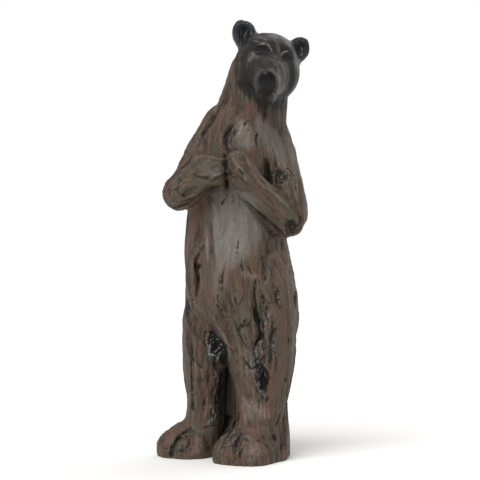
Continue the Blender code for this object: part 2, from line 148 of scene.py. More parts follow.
# Lines on the front: style, then points of u, v and full width.
FRONT = (
    # breast, neck and shoulders
    ("crack", ((226, 95, 1.0), (224, 101, 1.8), (216, 115, 2.2), (210, 126, 1.9), (202, 136, 1.0))),
    ("ridge", ((223, 92, 2), (219, 104, 3), (210, 117, 3.4), (199, 134, 2))),
    ("split", ((187, 148, 1.4), (185.6, 152, 2.9), (182.6, 157, 1.4))),
    ("crack", ((260, 127, 0.9), (257, 134, 1.9), (256, 141, 1.5), (256.5, 147, 0.7))),
    ("groove", ((236, 124, 3), (226, 133, 6), (223, 143, 6), (228, 152, 4))),
    ("crease", ((231, 129, 2), (225.5, 137, 4.5), (226.5, 146, 3.4), (229, 151, 2))),
    ("strand", ((236, 126, 2), (230.5, 134, 2.4), (228.6, 143, 2.0), (230.6, 149, 1.4))),
    ("strand", ((242, 124, 2), (239, 132, 2.6), (236.6, 142, 2))),
    ("crack", ((228.6, 133, 0.6), (226, 140, 1.6), (228, 148, 0.7))),
    ("crease", ((264, 100, 3), (266, 108, 5), (265, 116, 3))),
    ("groove", ((276, 98, 4), (272, 112, 6), (272, 128, 4))),
    ("groove", ((246, 96, 4), (240, 108, 6), (232, 120, 4))),
    # pocket of the left arm
    ("fold", ((263, 152, 3), (265.6, 162, 6), (268.6, 173, 6), (273, 182, 3))),
    ("crack", ((266, 163, 0.9), (267.6, 171, 1.9), (270, 178, 0.9))),
    ("fold", ((259, 168, 3), (264, 177, 5), (273, 185, 5), (283, 190, 3))),
    ("crease", ((270, 174, 2), (275, 171.5, 3), (279, 170, 1.6))),
    ("strand", ((272, 140, 1.6), (276, 152, 2.6), (279, 163, 2.6), (276, 169, 1.6))),
    ("strand", ((266, 138, 1.6), (268, 150, 2.4), (270, 160, 1.6))),
    ("ridge", ((286, 128, 2), (290, 146, 3), (294, 166, 3), (297, 188, 2))),
    ("groove", ((291, 156, 3), (295, 172, 5), (297, 192, 4), (297, 206, 3))),
    ("crack", ((299, 178, 0.9), (301, 186, 1.5), (303, 194, 0.9))),
    ("groove", ((276, 192, 3), (288, 198, 4.5), (296, 208, 3))),
    # left forearm and paw
    ("ridge", ((247, 160, 3), (252, 172, 4.4), (262, 184, 4.6), (276, 196, 4), (287, 206, 3))),
    ("groove", ((240, 172, 3), (247, 186, 5), (258, 198, 5), (272, 209, 4))),
    ("crease", ((226, 158, 2), (228, 168, 3), (233, 178, 3.4), (240, 176, 2))),
    ("crack", ((238.6, 168, 0.7), (242.6, 173, 2.1), (244.4, 177, 1.0))),
    ("crease", ((246, 201, 2), (256, 210, 4), (266, 220, 4.5), (276, 228, 4), (285, 234, 3))),
    ("groove", ((228, 152, 2), (236, 150.6, 4), (244, 153, 3), (247, 157, 2))),
    # right paw, its facet and forearm
    ("ridge", ((193, 164, 1.6), (200.6, 156.6, 2.8), (212, 157.4, 2.8), (223.6, 160, 1.8))),
    ("crease", ((193.6, 171, 1.6), (198, 176.6, 3.2), (206.6, 177.4, 3.4), (213, 181, 2.6))),
    ("crease", ((213, 181, 1.6), (218.6, 176.6, 3.0), (225, 173.6, 2.4))),
    ("ridge", ((194.6, 173.4, 1.6), (203, 175, 2.4), (208.6, 172.6, 2.0), (214.6, 177.4, 2.2))),
    ("groove", ((209, 166, 2), (214, 168.6, 4.5), (218, 174, 3))),
    ("fold", ((182, 195.6, 2), (186, 191.6, 5), (192.6, 187.6, 5), (199, 186, 2.4))),
    # painted shade under the fold of the right paw
    ("smoke_wash_and_shade", ((182, 196, 3), (187, 191, 7), (194, 187, 6))),
    ("ridge", ((181, 188, 2), (187, 184.6, 3.2), (195, 183.4, 2.6), (200.6, 186.6, 2))),
    ("ridge", ((172, 184, 2), (181, 175, 3.4), (191, 166.6, 2.6))),
    ("groove", ((170, 190, 3), (178, 181, 4.6), (189, 174.6, 3.4))),
    ("crease", ((172, 207, 2), (184, 205, 3.4), (196, 197, 4), (206, 189, 3))),
    ("crack", ((180, 201.6, 0.7), (186, 200.6, 1.6), (190, 197.6, 0.9))),
    # belly
    ("split", (
        (198.6, 253, 1.2), (195.4, 260, 2.9), (194.8, 266, 3.8), (197, 271.4, 4.0),
        (197.8, 277.4, 3.1), (197, 285, 2.4), (196.6, 292, 1.9), (196, 301, 1.0),
    )),
    ("ridge", ((202, 254, 1.6), (200, 266, 2.8), (201.6, 280, 2.4), (200, 294, 1.6))),
    ("crack", ((239.4, 239, 0.7), (237.6, 247, 1.1), (236, 256, 0.9), (234, 259, 0.6))),
    ("crack", ((241.4, 259, 0.7), (241.8, 266, 1.8), (242.6, 273, 0.9))),
    ("crack", ((247.6, 266, 0.8), (249.6, 270, 1.8), (252, 276, 1.0))),
    ("crack", (
        (255.8, 279, 1.0), (254.6, 287, 1.9), (254.2, 294, 1.8), (256, 303, 2.1), (255.6, 311, 2.2),
    )),
    ("split", (
        (256, 309, 2.2), (255.6, 316, 4.0), (258, 324, 5.7), (260.6, 332, 5.7), (260, 338, 4.1),
        (256, 343, 3.1), (254.6, 348, 1.4),
    )),
    ("groove", ((262.6, 258, 3), (266, 270, 6), (266.6, 281, 3))),
    ("crack", ((264, 263, 0.7), (262.6, 268, 1.8), (263.4, 276, 0.9))),
    ("crack", ((260, 290, 0.7), (263.4, 296, 1.6), (264.4, 303, 0.7))),
    ("crack", ((269, 303, 0.7), (266.6, 309, 1.9), (264.4, 316, 1.0))),
    ("groove", ((270, 310, 5), (267.6, 318, 9), (264.6, 327, 5))),
    ("silver_and_highlight", ((270.6, 310, 3), (268, 318, 6), (264.6, 325, 3))),
    ("crease", ((276, 325, 1.6), (273, 333, 4.4), (271, 340, 4.4), (275, 344, 1.6))),
    ("silver_and_highlight", ((276, 338, 2), (273, 346, 5), (273, 354, 3))),
    ("crack", ((271.4, 348, 0.9), (270.4, 357, 2.1), (270.8, 368, 1.0))),
    ("crack", ((246.6, 317, 0.9), (244.6, 322, 1.8), (242.6, 328, 0.9))),
    ("crack", ((241.6, 325, 0.9), (239.6, 330, 1.8), (238, 336, 0.9))),
    ("crack", ((250.6, 319, 0.9), (249.6, 324, 1.6), (250.4, 329, 0.9))),
    ("groove", ((268.6, 226, 3), (268.8, 240, 5), (268.6, 254, 5), (267.6, 262, 3))),
    ("groove", ((210.6, 226, 2.6), (211.6, 240, 4.4), (212.6, 256, 4.4), (215, 268, 3))),
    ("ridge", ((206.6, 228, 2), (207.4, 244, 3.6), (208.6, 258, 2))),
    ("groove", ((248.6, 214, 3), (249.6, 228, 4.6), (249, 244, 3))),
    ("crease", ((234, 289, 1.4), (230.4, 294, 2.8), (230, 301, 2.8), (233, 308, 1.6))),
    ("crease", ((235.6, 290, 1.4), (240.4, 293, 2.6), (241.6, 299, 2.4), (239.6, 304, 1.4))),
    ("crack", ((234, 298, 0.9), (236.4, 302, 1.7), (236, 308, 0.9))),
    ("strand", ((233.4, 293, 1.2), (236.6, 296, 2.0), (237.6, 302, 1.2))),
    ("strand", ((232.6, 297, 1.2), (233.6, 303, 1.8), (236.6, 309, 1.2))),
    ("swell", ((226, 196, 4), (226, 222, 8), (228.6, 246, 8), (228, 268, 4))),
    ("swell", ((241, 200, 4), (243, 222, 6), (243, 240, 6), (241, 256, 3))),
    ("swell", ((218, 206, 3), (217, 226, 6), (219, 250, 6), (222, 270, 3))),
    ("swell", ((256, 222, 3), (258, 240, 7), (258, 258, 7), (256, 272, 3))),
    ("groove", ((233.6, 194, 2), (232.6, 206, 3.6), (234, 220, 2))),
    ("crease", ((233.4, 192, 1.4), (232.6, 200, 2.0), (233, 209, 0.9))),
    ("crease", ((239.6, 194, 1.2), (239, 201, 1.8), (239.8, 208, 0.9))),
    ("crease", ((227.4, 191, 1.2), (226.6, 197, 1.8), (227, 204, 0.9))),
    ("groove", ((200, 226, 3), (198.6, 238, 4.6), (199, 250, 3))),
    ("crack", ((281, 239, 0.7), (281.8, 246, 1.5), (282.4, 254, 0.7))),
    ("crease", ((289, 254, 1.6), (290.6, 262, 3.2), (293.4, 272, 3.0), (297, 281, 1.8))),
    ("ridge", ((286.6, 252, 2), (288, 268, 3.0), (291, 288, 3.0), (296, 306, 3.0), (299, 318, 2))),
    ("groove", ((283.6, 258, 3), (284.6, 276, 5), (287, 296, 4))),
    # apron folds and the crotch
    ("ridge", ((186.6, 281, 2), (190, 292, 4.0), (195, 303, 4.6), (204.4, 318, 4.6), (208, 331, 2.4))),
    ("fold", ((184, 290, 2), (187.6, 302, 4.4), (195, 316, 5.4), (202.4, 331, 4))),
    ("ridge", ((209, 311, 2), (217, 324, 4.4), (225, 338, 5.0), (229.6, 350, 4.4), (229, 362, 2))),
    ("groove", ((206, 314, 2.6), (214, 329, 5), (221, 342, 5), (225, 354, 4))),
    ("fold", ((203.6, 333, 3), (209.6, 332, 5), (216, 338, 6), (221.6, 347, 6), (224, 358, 5))),
    # painted shade in the hollow of the crotch
    ("smoke_wash_and_shade", ((209, 333, 6), (214, 338, 9), (220, 347, 10), (224.6, 360, 8), (226, 380, 8))),
    ("strand", ((206.6, 340, 1.6), (208.6, 350, 2.6), (214, 355, 2.6), (219.6, 353, 2))),
    ("strand", ((212, 341, 1.4), (213.6, 347.6, 2.4), (218, 350, 2))),
    ("split", ((220.6, 345, 2), (224.4, 354, 4.6), (226.4, 366, 5.6), (227, 378, 3))),
    # the hole in the thigh
    ("strand", (
        (251.4, 352, 1.4), (250.8, 364, 2.2), (253.6, 378, 2.2), (258.6, 389, 2.4),
        (264, 396.6, 2.6),
    )),
    ("strand", ((257, 360, 1.2), (258, 374, 1.8), (262, 386, 1.2))),
    ("split", ((262.6, 368, 1.6), (263, 380, 3.4), (266, 392, 2.4))),
    ("silver_and_highlight", ((258, 390, 2), (264, 396, 4.4), (268, 396, 3))),
    ("silver_and_highlight", ((252, 344, 2), (256, 352, 6), (256, 362, 4))),
    # right leg
    ("crack", ((191.4, 343, 0.9), (191.8, 360, 1.5), (191.2, 380, 1.6), (192, 398, 1.8), (193.4, 410, 1.5))),
    ("ridge", ((194.6, 344, 2), (195.4, 368, 3.0), (195.6, 392, 3.0), (197.6, 408, 2))),
    ("crease", ((194.6, 338, 1.4), (193.8, 346, 3.2), (193, 356, 1.4))),
    ("silver_and_highlight", ((194.6, 340, 2), (193.6, 350, 3), (193, 357, 1.6))),
    ("split", ((193.6, 402, 1.7), (192.6, 407, 4.1), (195, 411, 1.7))),
    ("crack", ((203.6, 394, 0.9), (204.4, 403, 1.3), (204, 411, 0.7))),
    ("split", ((215.6, 358, 1.4), (214.6, 365, 3.8), (215.6, 369, 1.4))),
    ("crack", ((220.6, 376, 1.0), (221, 388, 2.5), (218.6, 400, 2.5), (219.6, 412, 1.2))),
    ("crack", ((215, 396, 0.7), (216.6, 404, 1.8), (214.4, 412, 0.7))),
    ("crack", ((221.6, 408, 0.7), (219, 414, 1.6), (215.6, 419, 0.7))),
    ("crack", ((203.6, 427.6, 0.9), (210, 426.4, 1.6), (218, 425.4, 0.9))),
    ("ridge", ((206.6, 388, 2), (207.6, 404, 3.6), (206, 418, 2))),
    # right foot
    ("split", (
        (191.6, 428, 0.9), (186, 432, 1.8), (180, 436.6, 2.2), (176.4, 442, 2.5), (173.6, 449, 2.4),
        (171, 458, 1.6),
    )),
    ("groove", ((202, 429, 1.6), (195, 431.4, 3.4), (189, 434, 1.8))),
    ("crack", ((190, 442, 0.9), (188.4, 445.4, 2.2), (186.6, 448, 0.9))),
    ("crack", ((186, 449, 0.7), (182.6, 451, 1.8), (179.6, 450.6, 0.7))),
    ("crack", ((163.6, 446.6, 0.9), (166.6, 448.4, 1.8), (170, 447, 0.9))),
    # left leg
    ("crack", ((252.6, 340, 0.9), (252.6, 346, 2.2), (254, 351, 1.0))),
    ("ridge", ((246, 341, 2), (245.6, 356, 3.4), (246.8, 376, 3.4), (250, 392, 2))),
    ("groove", ((240.6, 340, 2.6), (238.6, 358, 4.6), (241, 380, 4), (246, 396, 3))),
    ("split", ((289.4, 378, 1.4), (287.6, 388, 2.8), (286.8, 398, 3.3), (287, 410, 1.7))),
    ("crack", ((279.6, 411, 0.9), (278.4, 418, 2.2), (276.4, 426, 1.2))),
    ("crack", ((283.4, 414, 0.9), (283.6, 424, 2.1), (284.8, 436, 1.0))),
    ("split", ((273.4, 433, 1.4), (274, 437.6, 3.6), (275.6, 441, 1.4))),
    ("crack", ((287, 414, 0.9), (286.6, 424, 1.8), (287.6, 436, 0.9))),
    ("crack", ((281, 441, 0.7), (280.6, 448, 1.6), (281.6, 456, 0.7))),
    ("crack", ((258.8, 399, 0.7), (259.4, 404, 1.5), (259, 409, 0.7))),
    ("crack", ((275, 352, 0.7), (276, 362, 1.5), (275.4, 372, 0.7))),
    ("groove", ((238, 428.6, 2), (246, 426.6, 4.6), (256, 427.4, 4.6), (266, 425, 2.4))),
    ("ridge", ((246, 404, 1.6), (250, 406.4, 2.8), (255.4, 412, 1.8))),
    # left foot
    ("split", (
        (239.6, 417, 1.6), (237, 422, 3.0), (233, 428.4, 4.6), (228.8, 435, 4.8),
        (225, 441, 3.8), (221, 448, 1.8),
    )),
    ("ridge", ((235.4, 418, 1.4), (229.6, 426, 2.8), (224.4, 434, 2.8), (218.6, 443, 1.8))),
    ("strand", ((238, 424, 1.2), (233, 432, 1.8), (227.6, 440, 1.2))),
    ("split", ((239.6, 436, 1.4), (237.6, 441, 2.8), (235.4, 448.6, 1.9))),
    ("crack", ((243, 449, 0.9), (240, 453.6, 1.8), (237.4, 458.6, 0.9))),
    ("crack", ((229.6, 437.6, 0.9), (236, 434.4, 2.1), (244.4, 434.6, 1.0))),
    ("crack", ((236, 427, 0.7), (240, 430, 1.5), (243, 429, 0.7))),
    ("groove", ((262, 430, 3), (266, 440, 5), (267, 454, 4))),
    # face
    ("groove", ((256, 42, 1.4), (261, 40.8, 2.4), (267, 41.6, 2.4), (272, 44.6, 2.2), (275.6, 50, 1.2))),
    # the lids' silver is a painted highlight along each lid
    ("lid", ((257.6, 44.8, 0.9), (262, 44.0, 1.3), (266, 44.2, 1.3), (269.6, 46.6, 1.3), (272, 50.4, 0.9))),
    ("lid", ((280, 56.6, 0.9), (282, 53.6, 1.3), (285, 51.8, 1.3), (288.6, 51.2, 0.9))),
    ("groove", ((257, 47.6, 1.6), (262, 46.8, 2.6), (266, 48.4, 2.4))),
    ("groove", ((282, 58, 1.6), (285, 54.6, 2.6), (290, 54, 1.8))),
    # painted shade: the dark band above the far lid, the dark under both lids and the murk over the eye
    # sockets stand for the shade under the brows
    ("murk", ((257.6, 41.4, 1.6), (263, 40.4, 3.2), (269, 41.8, 3.4), (274.6, 47, 2.4))),
    ("dark", ((260, 46.6, 1.2), (265, 46.8, 2.2), (268.6, 49.6, 2.2))),
    ("dark", ((282.6, 56.6, 1.2), (285.6, 54.6, 2.2), (289, 54, 1.4))),
    ("murk", ((258, 48, 7), (266, 53, 13), (273, 58, 9))),
    ("murk", ((282, 58, 7), (289, 61, 13), (292, 70, 10))),
    ("smoke_wash_and_shade", ((277.6, 38, 2.4), (277, 47, 4), (277.6, 56, 5), (275.6, 65, 6))),
    ("groove", ((277.6, 36, 2.4), (276.6, 46, 4), (276.6, 56, 4), (274, 64, 2.4))),
    ("ridge", ((251, 35, 2), (258, 33.4, 3.4), (268, 34.6, 2))),
    ("ridge", ((249, 39, 2), (256, 37.4, 3.2), (264, 38, 2))),
    # partly painted shade: murk and smoke darken both sides of the face and under the eyes beyond the head's
    # own dark paint, most on the right cheek, which is turned from the light
    ("murk", ((238, 52, 6), (237, 68, 13), (240, 84, 15), (250, 94, 12))),
    ("murk", ((246, 62, 8), (250, 72, 17), (248, 86, 14))),
    ("smoke_wash_and_shade", ((257, 62, 6), (263, 66, 12), (270, 66, 12), (279, 66, 8))),
    ("murk", ((285, 60, 8), (289, 66, 15), (291.6, 77, 18), (289, 90, 14), (283, 100, 7))),
    ("glint", ((249.6, 62, 1.4), (251, 57.6, 3.2), (254.6, 55.6, 2))),
    ("glint", ((252, 60, 1.0), (254.6, 58.6, 1.6), (256.6, 56, 1.0))),
    ("glint", ((250.4, 58.6, 1.0), (252.4, 57, 1.6))),
    # painted highlights: the silver on the far eye and the two dabs on the top of the nose
    ("silver_and_highlight", ((270, 48.6, 1.0), (271.4, 50.4, 2.2), (272.2, 53, 1.2))),
    ("silver_and_highlight", ((263.6, 73.8, 1.1), (265.6, 73.2, 1.6), (267.6, 73.6, 1.1))),
    ("silver_and_highlight", ((272, 74.0, 1.1), (273.2, 74.3, 1.4), (274.4, 75.0, 1.1))),
    ("glint", ((288, 51.2, 1.2), (291, 52, 1.4), (293, 54, 1.0))),
    # partly painted highlights: the sheen and rub strokes light the forehead, the cheeks, the sides of the
    # nose and the chin, and lay a thin light rim down the head's left outline
    ("sheen", ((243, 46, 6), (249, 39.6, 12), (257, 35, 13), (264, 34.6, 9))),
    ("rub_and_highlight", ((263, 44, 5), (267.6, 39, 13), (272.4, 37, 14), (277.4, 42, 8))),
    ("sheen", ((270, 33, 8), (280, 37, 12), (288, 43, 12), (293.6, 51, 9), (296.4, 60, 4))),
    ("sheen", ((276.4, 44, 6), (278, 50, 9), (275.6, 56, 9), (270.6, 60, 6))),
    ("sheen", ((262, 55, 6), (266, 62, 12), (268.6, 69, 8))),
    ("sheen", ((276.6, 65, 6), (280.4, 74, 10), (281, 84, 10), (278.4, 93, 7))),
    ("rub_and_highlight", ((278.4, 70, 3), (279.6, 78, 5), (279.2, 86, 3))),
    ("rub_and_highlight", ((272.4, 92.6, 2), (274.6, 95.6, 4), (274.6, 99, 2))),
    ("sheen", ((256.8, 85, 3), (256.2, 78, 4), (259.6, 71.6, 4), (266, 68.4, 3))),
    ("sheen", ((246.6, 66, 6), (249, 59, 12), (254.6, 56, 12), (261, 57, 6))),
    ("rub_and_highlight", ((239.4, 48, 2), (234, 59, 3), (230.4, 72, 3), (226.6, 88, 2))),
    ("murk", ((243, 56, 2), (241.6, 68, 4), (243, 80, 3))),
    ("murk", ((254, 62, 2), (252, 72, 6), (254, 82, 4))),
    ("murk", ((272, 60, 2), (274.6, 68, 4), (276.6, 76, 2))),
    ("crease", ((262.4, 91, 1.6), (267, 93.4, 3.4), (272, 92, 1.6))),
    # painted shade: the mouth and the chin under the nose, darkened as in their own shadow
    ("smoke_wash_and_shade", ((260, 91, 4), (265, 95, 9), (266, 101, 8), (266, 108, 5))),
    ("black", ((266.6, 77.6, 12), (267, 80.6, 16.6), (267.2, 84, 17), (266.8, 87, 14))),
    ("rim", ((260.4, 75.4, 1.6), (264.6, 72.8, 3.0), (270, 72.8, 3.0), (274.6, 75.6, 1.6))),
    # painted shade under the nose, over the mouth and the chin
    ("dark", ((266, 91, 11), (265, 96, 9), (264.6, 101, 6.4), (264.6, 108, 3))),
    ("split", ((261.6, 83.6, 1.2), (262.8, 85.6, 2.6), (262.6, 88, 1.2))),
    ("split", ((272.6, 84.4, 1.2), (271.8, 86.6, 2.6), (270.4, 88.8, 1.2))),
    ("crack", ((267.2, 86.6, 0.7), (266.8, 90, 1.3), (266.6, 93.6, 0.7))),
    # painted shade over the chin's lit edges
    ("murk", ((271, 104, 4), (275, 100, 6), (278, 95, 5))),
    ("murk", ((255, 88, 4), (257, 96, 8), (261, 103, 7))),
    # ears
    ("strand", ((248, 29, 1.4), (245.6, 34, 2.4), (241.6, 40, 1.6))),
    ("strand", ((241.6, 27.6, 1.4), (241, 34, 2.4), (239.6, 42, 1.4))),
    ("strand", ((236.6, 27, 1.4), (236, 34, 2.6), (238.4, 42, 1.4))),
    ("glint", ((233.6, 27, 1.4), (233.4, 35, 2.6), (237.4, 46, 1.6))),
    ("glint", ((237, 21.6, 1.2), (244, 20.4, 1.6), (251, 25.6, 1.8), (255.4, 33, 1.2))),
    ("glint", ((247, 23, 1.4), (252, 30, 2.4), (248, 40, 1.4))),
    ("strand", ((300.4, 44, 1.4), (302, 49.6, 2.4), (301.6, 56, 1.4))),
    ("glint", ((296, 38.8, 1.2), (303, 38.4, 1.6), (308, 43, 1.8), (308.6, 51, 1.8), (304, 59, 1.2))),
    ("glint", ((296, 44, 1.2), (298, 50, 2.0), (299, 56, 1.2))),
    # worn places, where the fibres have broken up
    ("rough", ((262, 296, 6), (263, 312, 15), (262, 330, 18), (261, 348, 18), (260, 366, 16))),
    ("rough", ((256, 372, 8), (260, 386, 15), (266, 399, 8))),
    ("rough", ((273, 322, 6), (272, 336, 12), (271, 352, 10), (270, 368, 6))),
    ("rough", ((208, 334, 10), (214, 344, 20), (221, 360, 13), (223, 380, 8))),
    ("rough", ((215, 362, 4), (217, 384, 9), (216, 404, 14), (211, 420, 12))),
    ("rough", ((191, 340, 5), (191.6, 372, 6), (193, 406, 9))),
    ("rough", ((240, 417, 5), (233, 431, 13), (223, 447, 8))),
    ("rough", ((240, 432, 8), (238, 444, 12), (238, 458, 8))),
    ("rough", ((192, 428, 5), (179, 438, 11), (172, 455, 8))),
    ("rough", ((190, 440, 6), (184, 449, 10), (178, 452, 5))),
    ("rough", ((286, 380, 6), (286, 400, 8), (284, 424, 15), (282, 450, 11))),
    ("rough", ((263, 258, 5), (266, 268, 9), (265, 280, 5))),
    ("rough", ((238, 330, 5), (244, 324, 10), (253, 326, 8))),
    ("rough", ((226, 262, 3), (220, 286, 9), (219, 306, 10))),
    ("rough", ((231, 130, 4), (226, 140, 10), (228, 151, 6))),
    ("rough", ((286, 221, 7), (291, 227, 13), (294, 233, 6))),
    ("rough", ((226, 95, 3), (217, 114, 5), (203, 136, 3))),
    # washes of grey, the warmer places, and painted shade in hollows, under the chin and the arms,
    # down the neck and between the legs
    ("mist", ((240, 122, 12), (244, 130, 24), (246, 140, 28), (248, 148, 14))),
    ("mist", ((258, 118, 12), (265, 131, 32), (274, 146, 34), (282, 160, 22), (290, 176, 12))),
    ("mist", ((262, 122, 8), (272, 134, 22), (280, 148, 20), (286, 160, 10))),
    ("glint", ((240, 119, 1.6), (233, 125, 2.6), (229, 134, 1.6))),
    ("glint", ((246, 118, 1.6), (243, 126, 2.4), (240, 136, 1.6))),
    ("glint", ((270, 124, 1.6), (277, 138, 2.6), (281, 152, 1.6))),
    ("ash", ((232, 198, 50), (237, 210, 66), (238, 226, 74), (235, 244, 60), (226, 262, 30))),
    ("mist", ((224, 248, 24), (221, 268, 28), (219, 286, 26), (218, 302, 12))),
    ("mist", ((206, 226, 4), (207, 244, 7), (208, 262, 4))),
    ("mist", ((212, 195, 6), (228, 197, 12), (246, 202, 10))),
    ("ash", ((214, 206, 6), (218, 226, 14), (219, 250, 14), (220, 270, 8))),
    ("glint", ((222, 198, 2), (223, 214, 4), (222, 232, 2))),
    ("glint", ((230.6, 200, 2), (231, 216, 3.4), (230, 236, 2))),
    ("glint", ((244, 204, 2), (246, 222, 4), (246, 244, 2))),
    ("shade", ((226.6, 196, 2), (227, 214, 3.4), (226, 240, 2))),
    ("shade", ((238, 202, 2), (239, 224, 3.4), (238, 250, 2))),
    ("rose", ((214, 214, 3), (215, 234, 6), (217, 258, 3))),
    ("smoke_wash_and_shade", ((210.6, 224, 3), (211.8, 244, 6), (213, 264, 4))),
    ("smoke_wash_and_shade", ((262, 226, 6), (266, 246, 12), (266, 268, 8))),
    ("smoke_wash_and_shade", ((222, 286, 10), (224, 300, 18), (222, 314, 10))),
    ("smoke_wash_and_shade", ((226, 126, 6), (225, 140, 11), (227, 152, 6))),
    # painted shadow under the chin
    ("smoke_wash_and_shade", ((260, 100, 8), (264, 112, 12), (264, 122, 6))),
    ("rust", ((262, 158, 4), (266, 170, 7), (272, 180, 5))),
    # painted shade in the pocket under the left arm
    ("murk", ((264, 158, 4), (267, 170, 9), (272, 182, 6))),
    # painted shade on the belly under the left forearm
    ("smoke_wash_and_shade", ((240, 196, 5), (252, 209, 10), (264, 224, 14), (274, 236, 9))),
    # painted shade under the apron fold
    ("smoke_wash_and_shade", ((184, 300, 6), (190, 316, 12), (198, 330, 12), (206, 340, 8))),
    # painted shade down the cleft between the legs
    ("murk", (
        (226, 352, 6), (226.6, 372, 11), (227, 392, 15), (228, 410, 15), (223, 428, 9),
        (216, 442, 5),
    )),
    ("murk", ((220, 362, 8), (220, 388, 16), (220, 410, 18), (216, 432, 12), (210, 448, 6))),
    ("shade", ((188, 300, 10), (192, 330, 26), (200, 364, 38), (204, 396, 34), (204, 420, 24))),
    # painted shade in the recess under the apron fold
    ("murk", ((184, 304, 4), (188, 318, 9), (195, 332, 10), (204, 342, 8))),
    ("shade", ((186, 256, 8), (190, 284, 16), (192, 308, 16))),
    # painted shadow of the head on the neck and the left shoulder
    ("smoke_wash_and_shade", ((230, 82, 8), (226, 98, 20), (214, 118, 20), (204, 136, 12))),
    ("rust", ((232, 88, 6), (228, 104, 14), (220, 120, 14), (208, 140, 8))),
    ("shade", ((246, 98, 10), (252, 106, 16), (262, 108, 16), (272, 104, 10))),
    # painted shadow under the chin
    ("murk", ((258, 100, 6), (263, 108, 9), (265, 118, 5))),
    ("rust", ((238, 100, 5), (246, 106, 9), (254, 112, 5))),
    ("smoke_wash_and_shade", ((278, 102, 8), (276, 118, 10), (280, 134, 6))),
    ("shade", ((234, 436, 10), (250, 444, 34), (262, 452, 30), (276, 456, 16))),
    ("shade", ((176, 436, 14), (184, 446, 30), (200, 448, 26))),
    ("shade", ((232, 90, 14), (224, 108, 26), (212, 128, 26), (200, 146, 16))),
    ("shade", ((237, 58, 5), (235, 74, 8), (234, 92, 14), (236, 104, 24), (236, 116, 20))),
    # painted shadow of the head on the neck
    ("smoke_wash_and_shade", ((240, 94, 6), (237, 104, 16), (238, 114, 8))),
    # painted shade deep in the crotch
    ("dark", ((209, 331.6, 2), (216, 335.6, 4.4), (222.4, 342.6, 7), (226, 353, 10), (227, 366, 12))),
    ("smoke_wash_and_shade", ((288, 400, 6), (286, 420, 12), (286, 446, 10))),
    ("murk", ((291, 402, 4), (289, 416, 7), (290, 436, 6))),
    ("smoke_wash_and_shade", ((214, 396, 6), (216, 410, 12), (212, 424, 8))),
    ("smoke_wash_and_shade", ((284, 410, 8), (284, 426, 12), (284, 446, 8))),
    ("smoke_wash_and_shade", ((228, 424, 5), (230, 440, 12), (236, 454, 8))),
    ("smoke_wash_and_shade", ((178, 436, 5), (176, 450, 12), (186, 452, 8))),
    ("smoke_wash_and_shade", ((264, 318, 8), (268, 334, 16), (266, 350, 12), (262, 366, 10))),
    ("rose", ((242, 272, 6), (249, 275, 14), (257, 276, 6))),
    ("rose", ((240, 210, 6), (242, 232, 8), (240, 252, 5))),
    ("rose", ((246.6, 350, 3), (246.4, 362, 5), (247, 376, 3))),
    ("glint", ((246.6, 403, 1.2), (250, 407, 2.0), (254.6, 413, 1.2))),
    ("mist", ((243, 398, 8), (248, 408, 16), (252, 418, 10))),
    ("rose", ((252, 402, 8), (260, 410, 20), (268, 416, 12))),
    ("rose", ((242, 404, 6), (244, 414, 12), (246, 424, 6))),
    ("ash", ((256, 340, 6), (256, 356, 10), (254, 372, 7))),
    ("slate", ((198, 165, 10), (206, 166, 17), (217, 169, 18), (223, 171, 11))),
    # painted shade under the ragged lower edge of the paw's facet
    ("murk", (
        (193, 174, 1.6), (200, 177.6, 3.4), (206, 177.6, 3.4), (213, 181.6, 3), (219, 177.6, 3),
        (226, 174.6, 2),
    )),
    ("silver_and_highlight", ((212, 177, 1.2), (215, 174, 2.4), (218, 175, 2.0), (222, 171.6, 1.4))),
    ("silver_and_highlight", ((193, 165, 1.2), (197, 160, 1.6), (201, 156.8, 1.6), (212, 157.6, 1.6), (223.6, 160, 1.2))),
    ("tan", ((188, 178, 2), (180, 184, 4), (172, 190, 2))),
    ("tan", ((229, 156, 2), (236, 152, 4), (244, 155, 2))),
    ("rose", ((232, 158, 3), (238, 166, 7), (243, 175, 6), (247, 184, 3))),
    ("mist", ((287, 138, 8), (292, 158, 14), (295, 182, 12), (297, 200, 5))),
    ("tan", ((239, 344, 5), (240, 360, 12), (242, 380, 6))),
    ("ash", ((212, 172, 3), (216, 175, 5), (221, 173, 3))),
    ("rust", ((202, 250, 6), (205, 266, 12), (204, 284, 8))),
    ("rust", ((247, 288, 6), (247.6, 300, 14), (246, 312, 8))),
    ("rust", ((284, 318, 8), (283, 336, 16), (283, 360, 14), (284, 384, 8))),
    ("rust", ((243, 376, 4), (246, 388, 10), (252, 398, 6))),
    ("rust", ((208, 214, 6), (206, 196, 8), (210, 192, 4))),
    ("rust", ((270, 214, 6), (282, 214, 14), (292, 206, 8))),
    ("rust", ((218, 104, 5), (228, 98, 12), (240, 112, 10), (262, 116, 6))),
    ("rust", ((206, 378, 6), (206, 398, 12), (208, 414, 8))),
    ("rust", ((184, 420, 5), (190, 432, 10), (196, 444, 6))),
    ("rust", ((222, 452, 6), (240, 460, 10), (260, 462, 6))),
    ("rust", ((236, 420, 6), (250, 430, 14), (268, 428, 10))),
    ("rose", ((248, 436, 8), (256, 448, 18), (252, 460, 12))),
    ("rose", ((196, 436, 8), (200, 446, 16), (192, 454, 10))),
    ("ash", ((210, 406, 5), (214, 416, 8), (208, 424, 5))),
    ("smoke_wash_and_shade", ((216, 300, 8), (220, 312, 14), (218, 320, 8))),
    ("smoke_wash_and_shade", ((256, 368, 5), (262, 376, 10), (264, 390, 6))),
    ("smoke_wash_and_shade", ((286, 222, 6), (291, 227, 12), (294, 232, 6))),
)

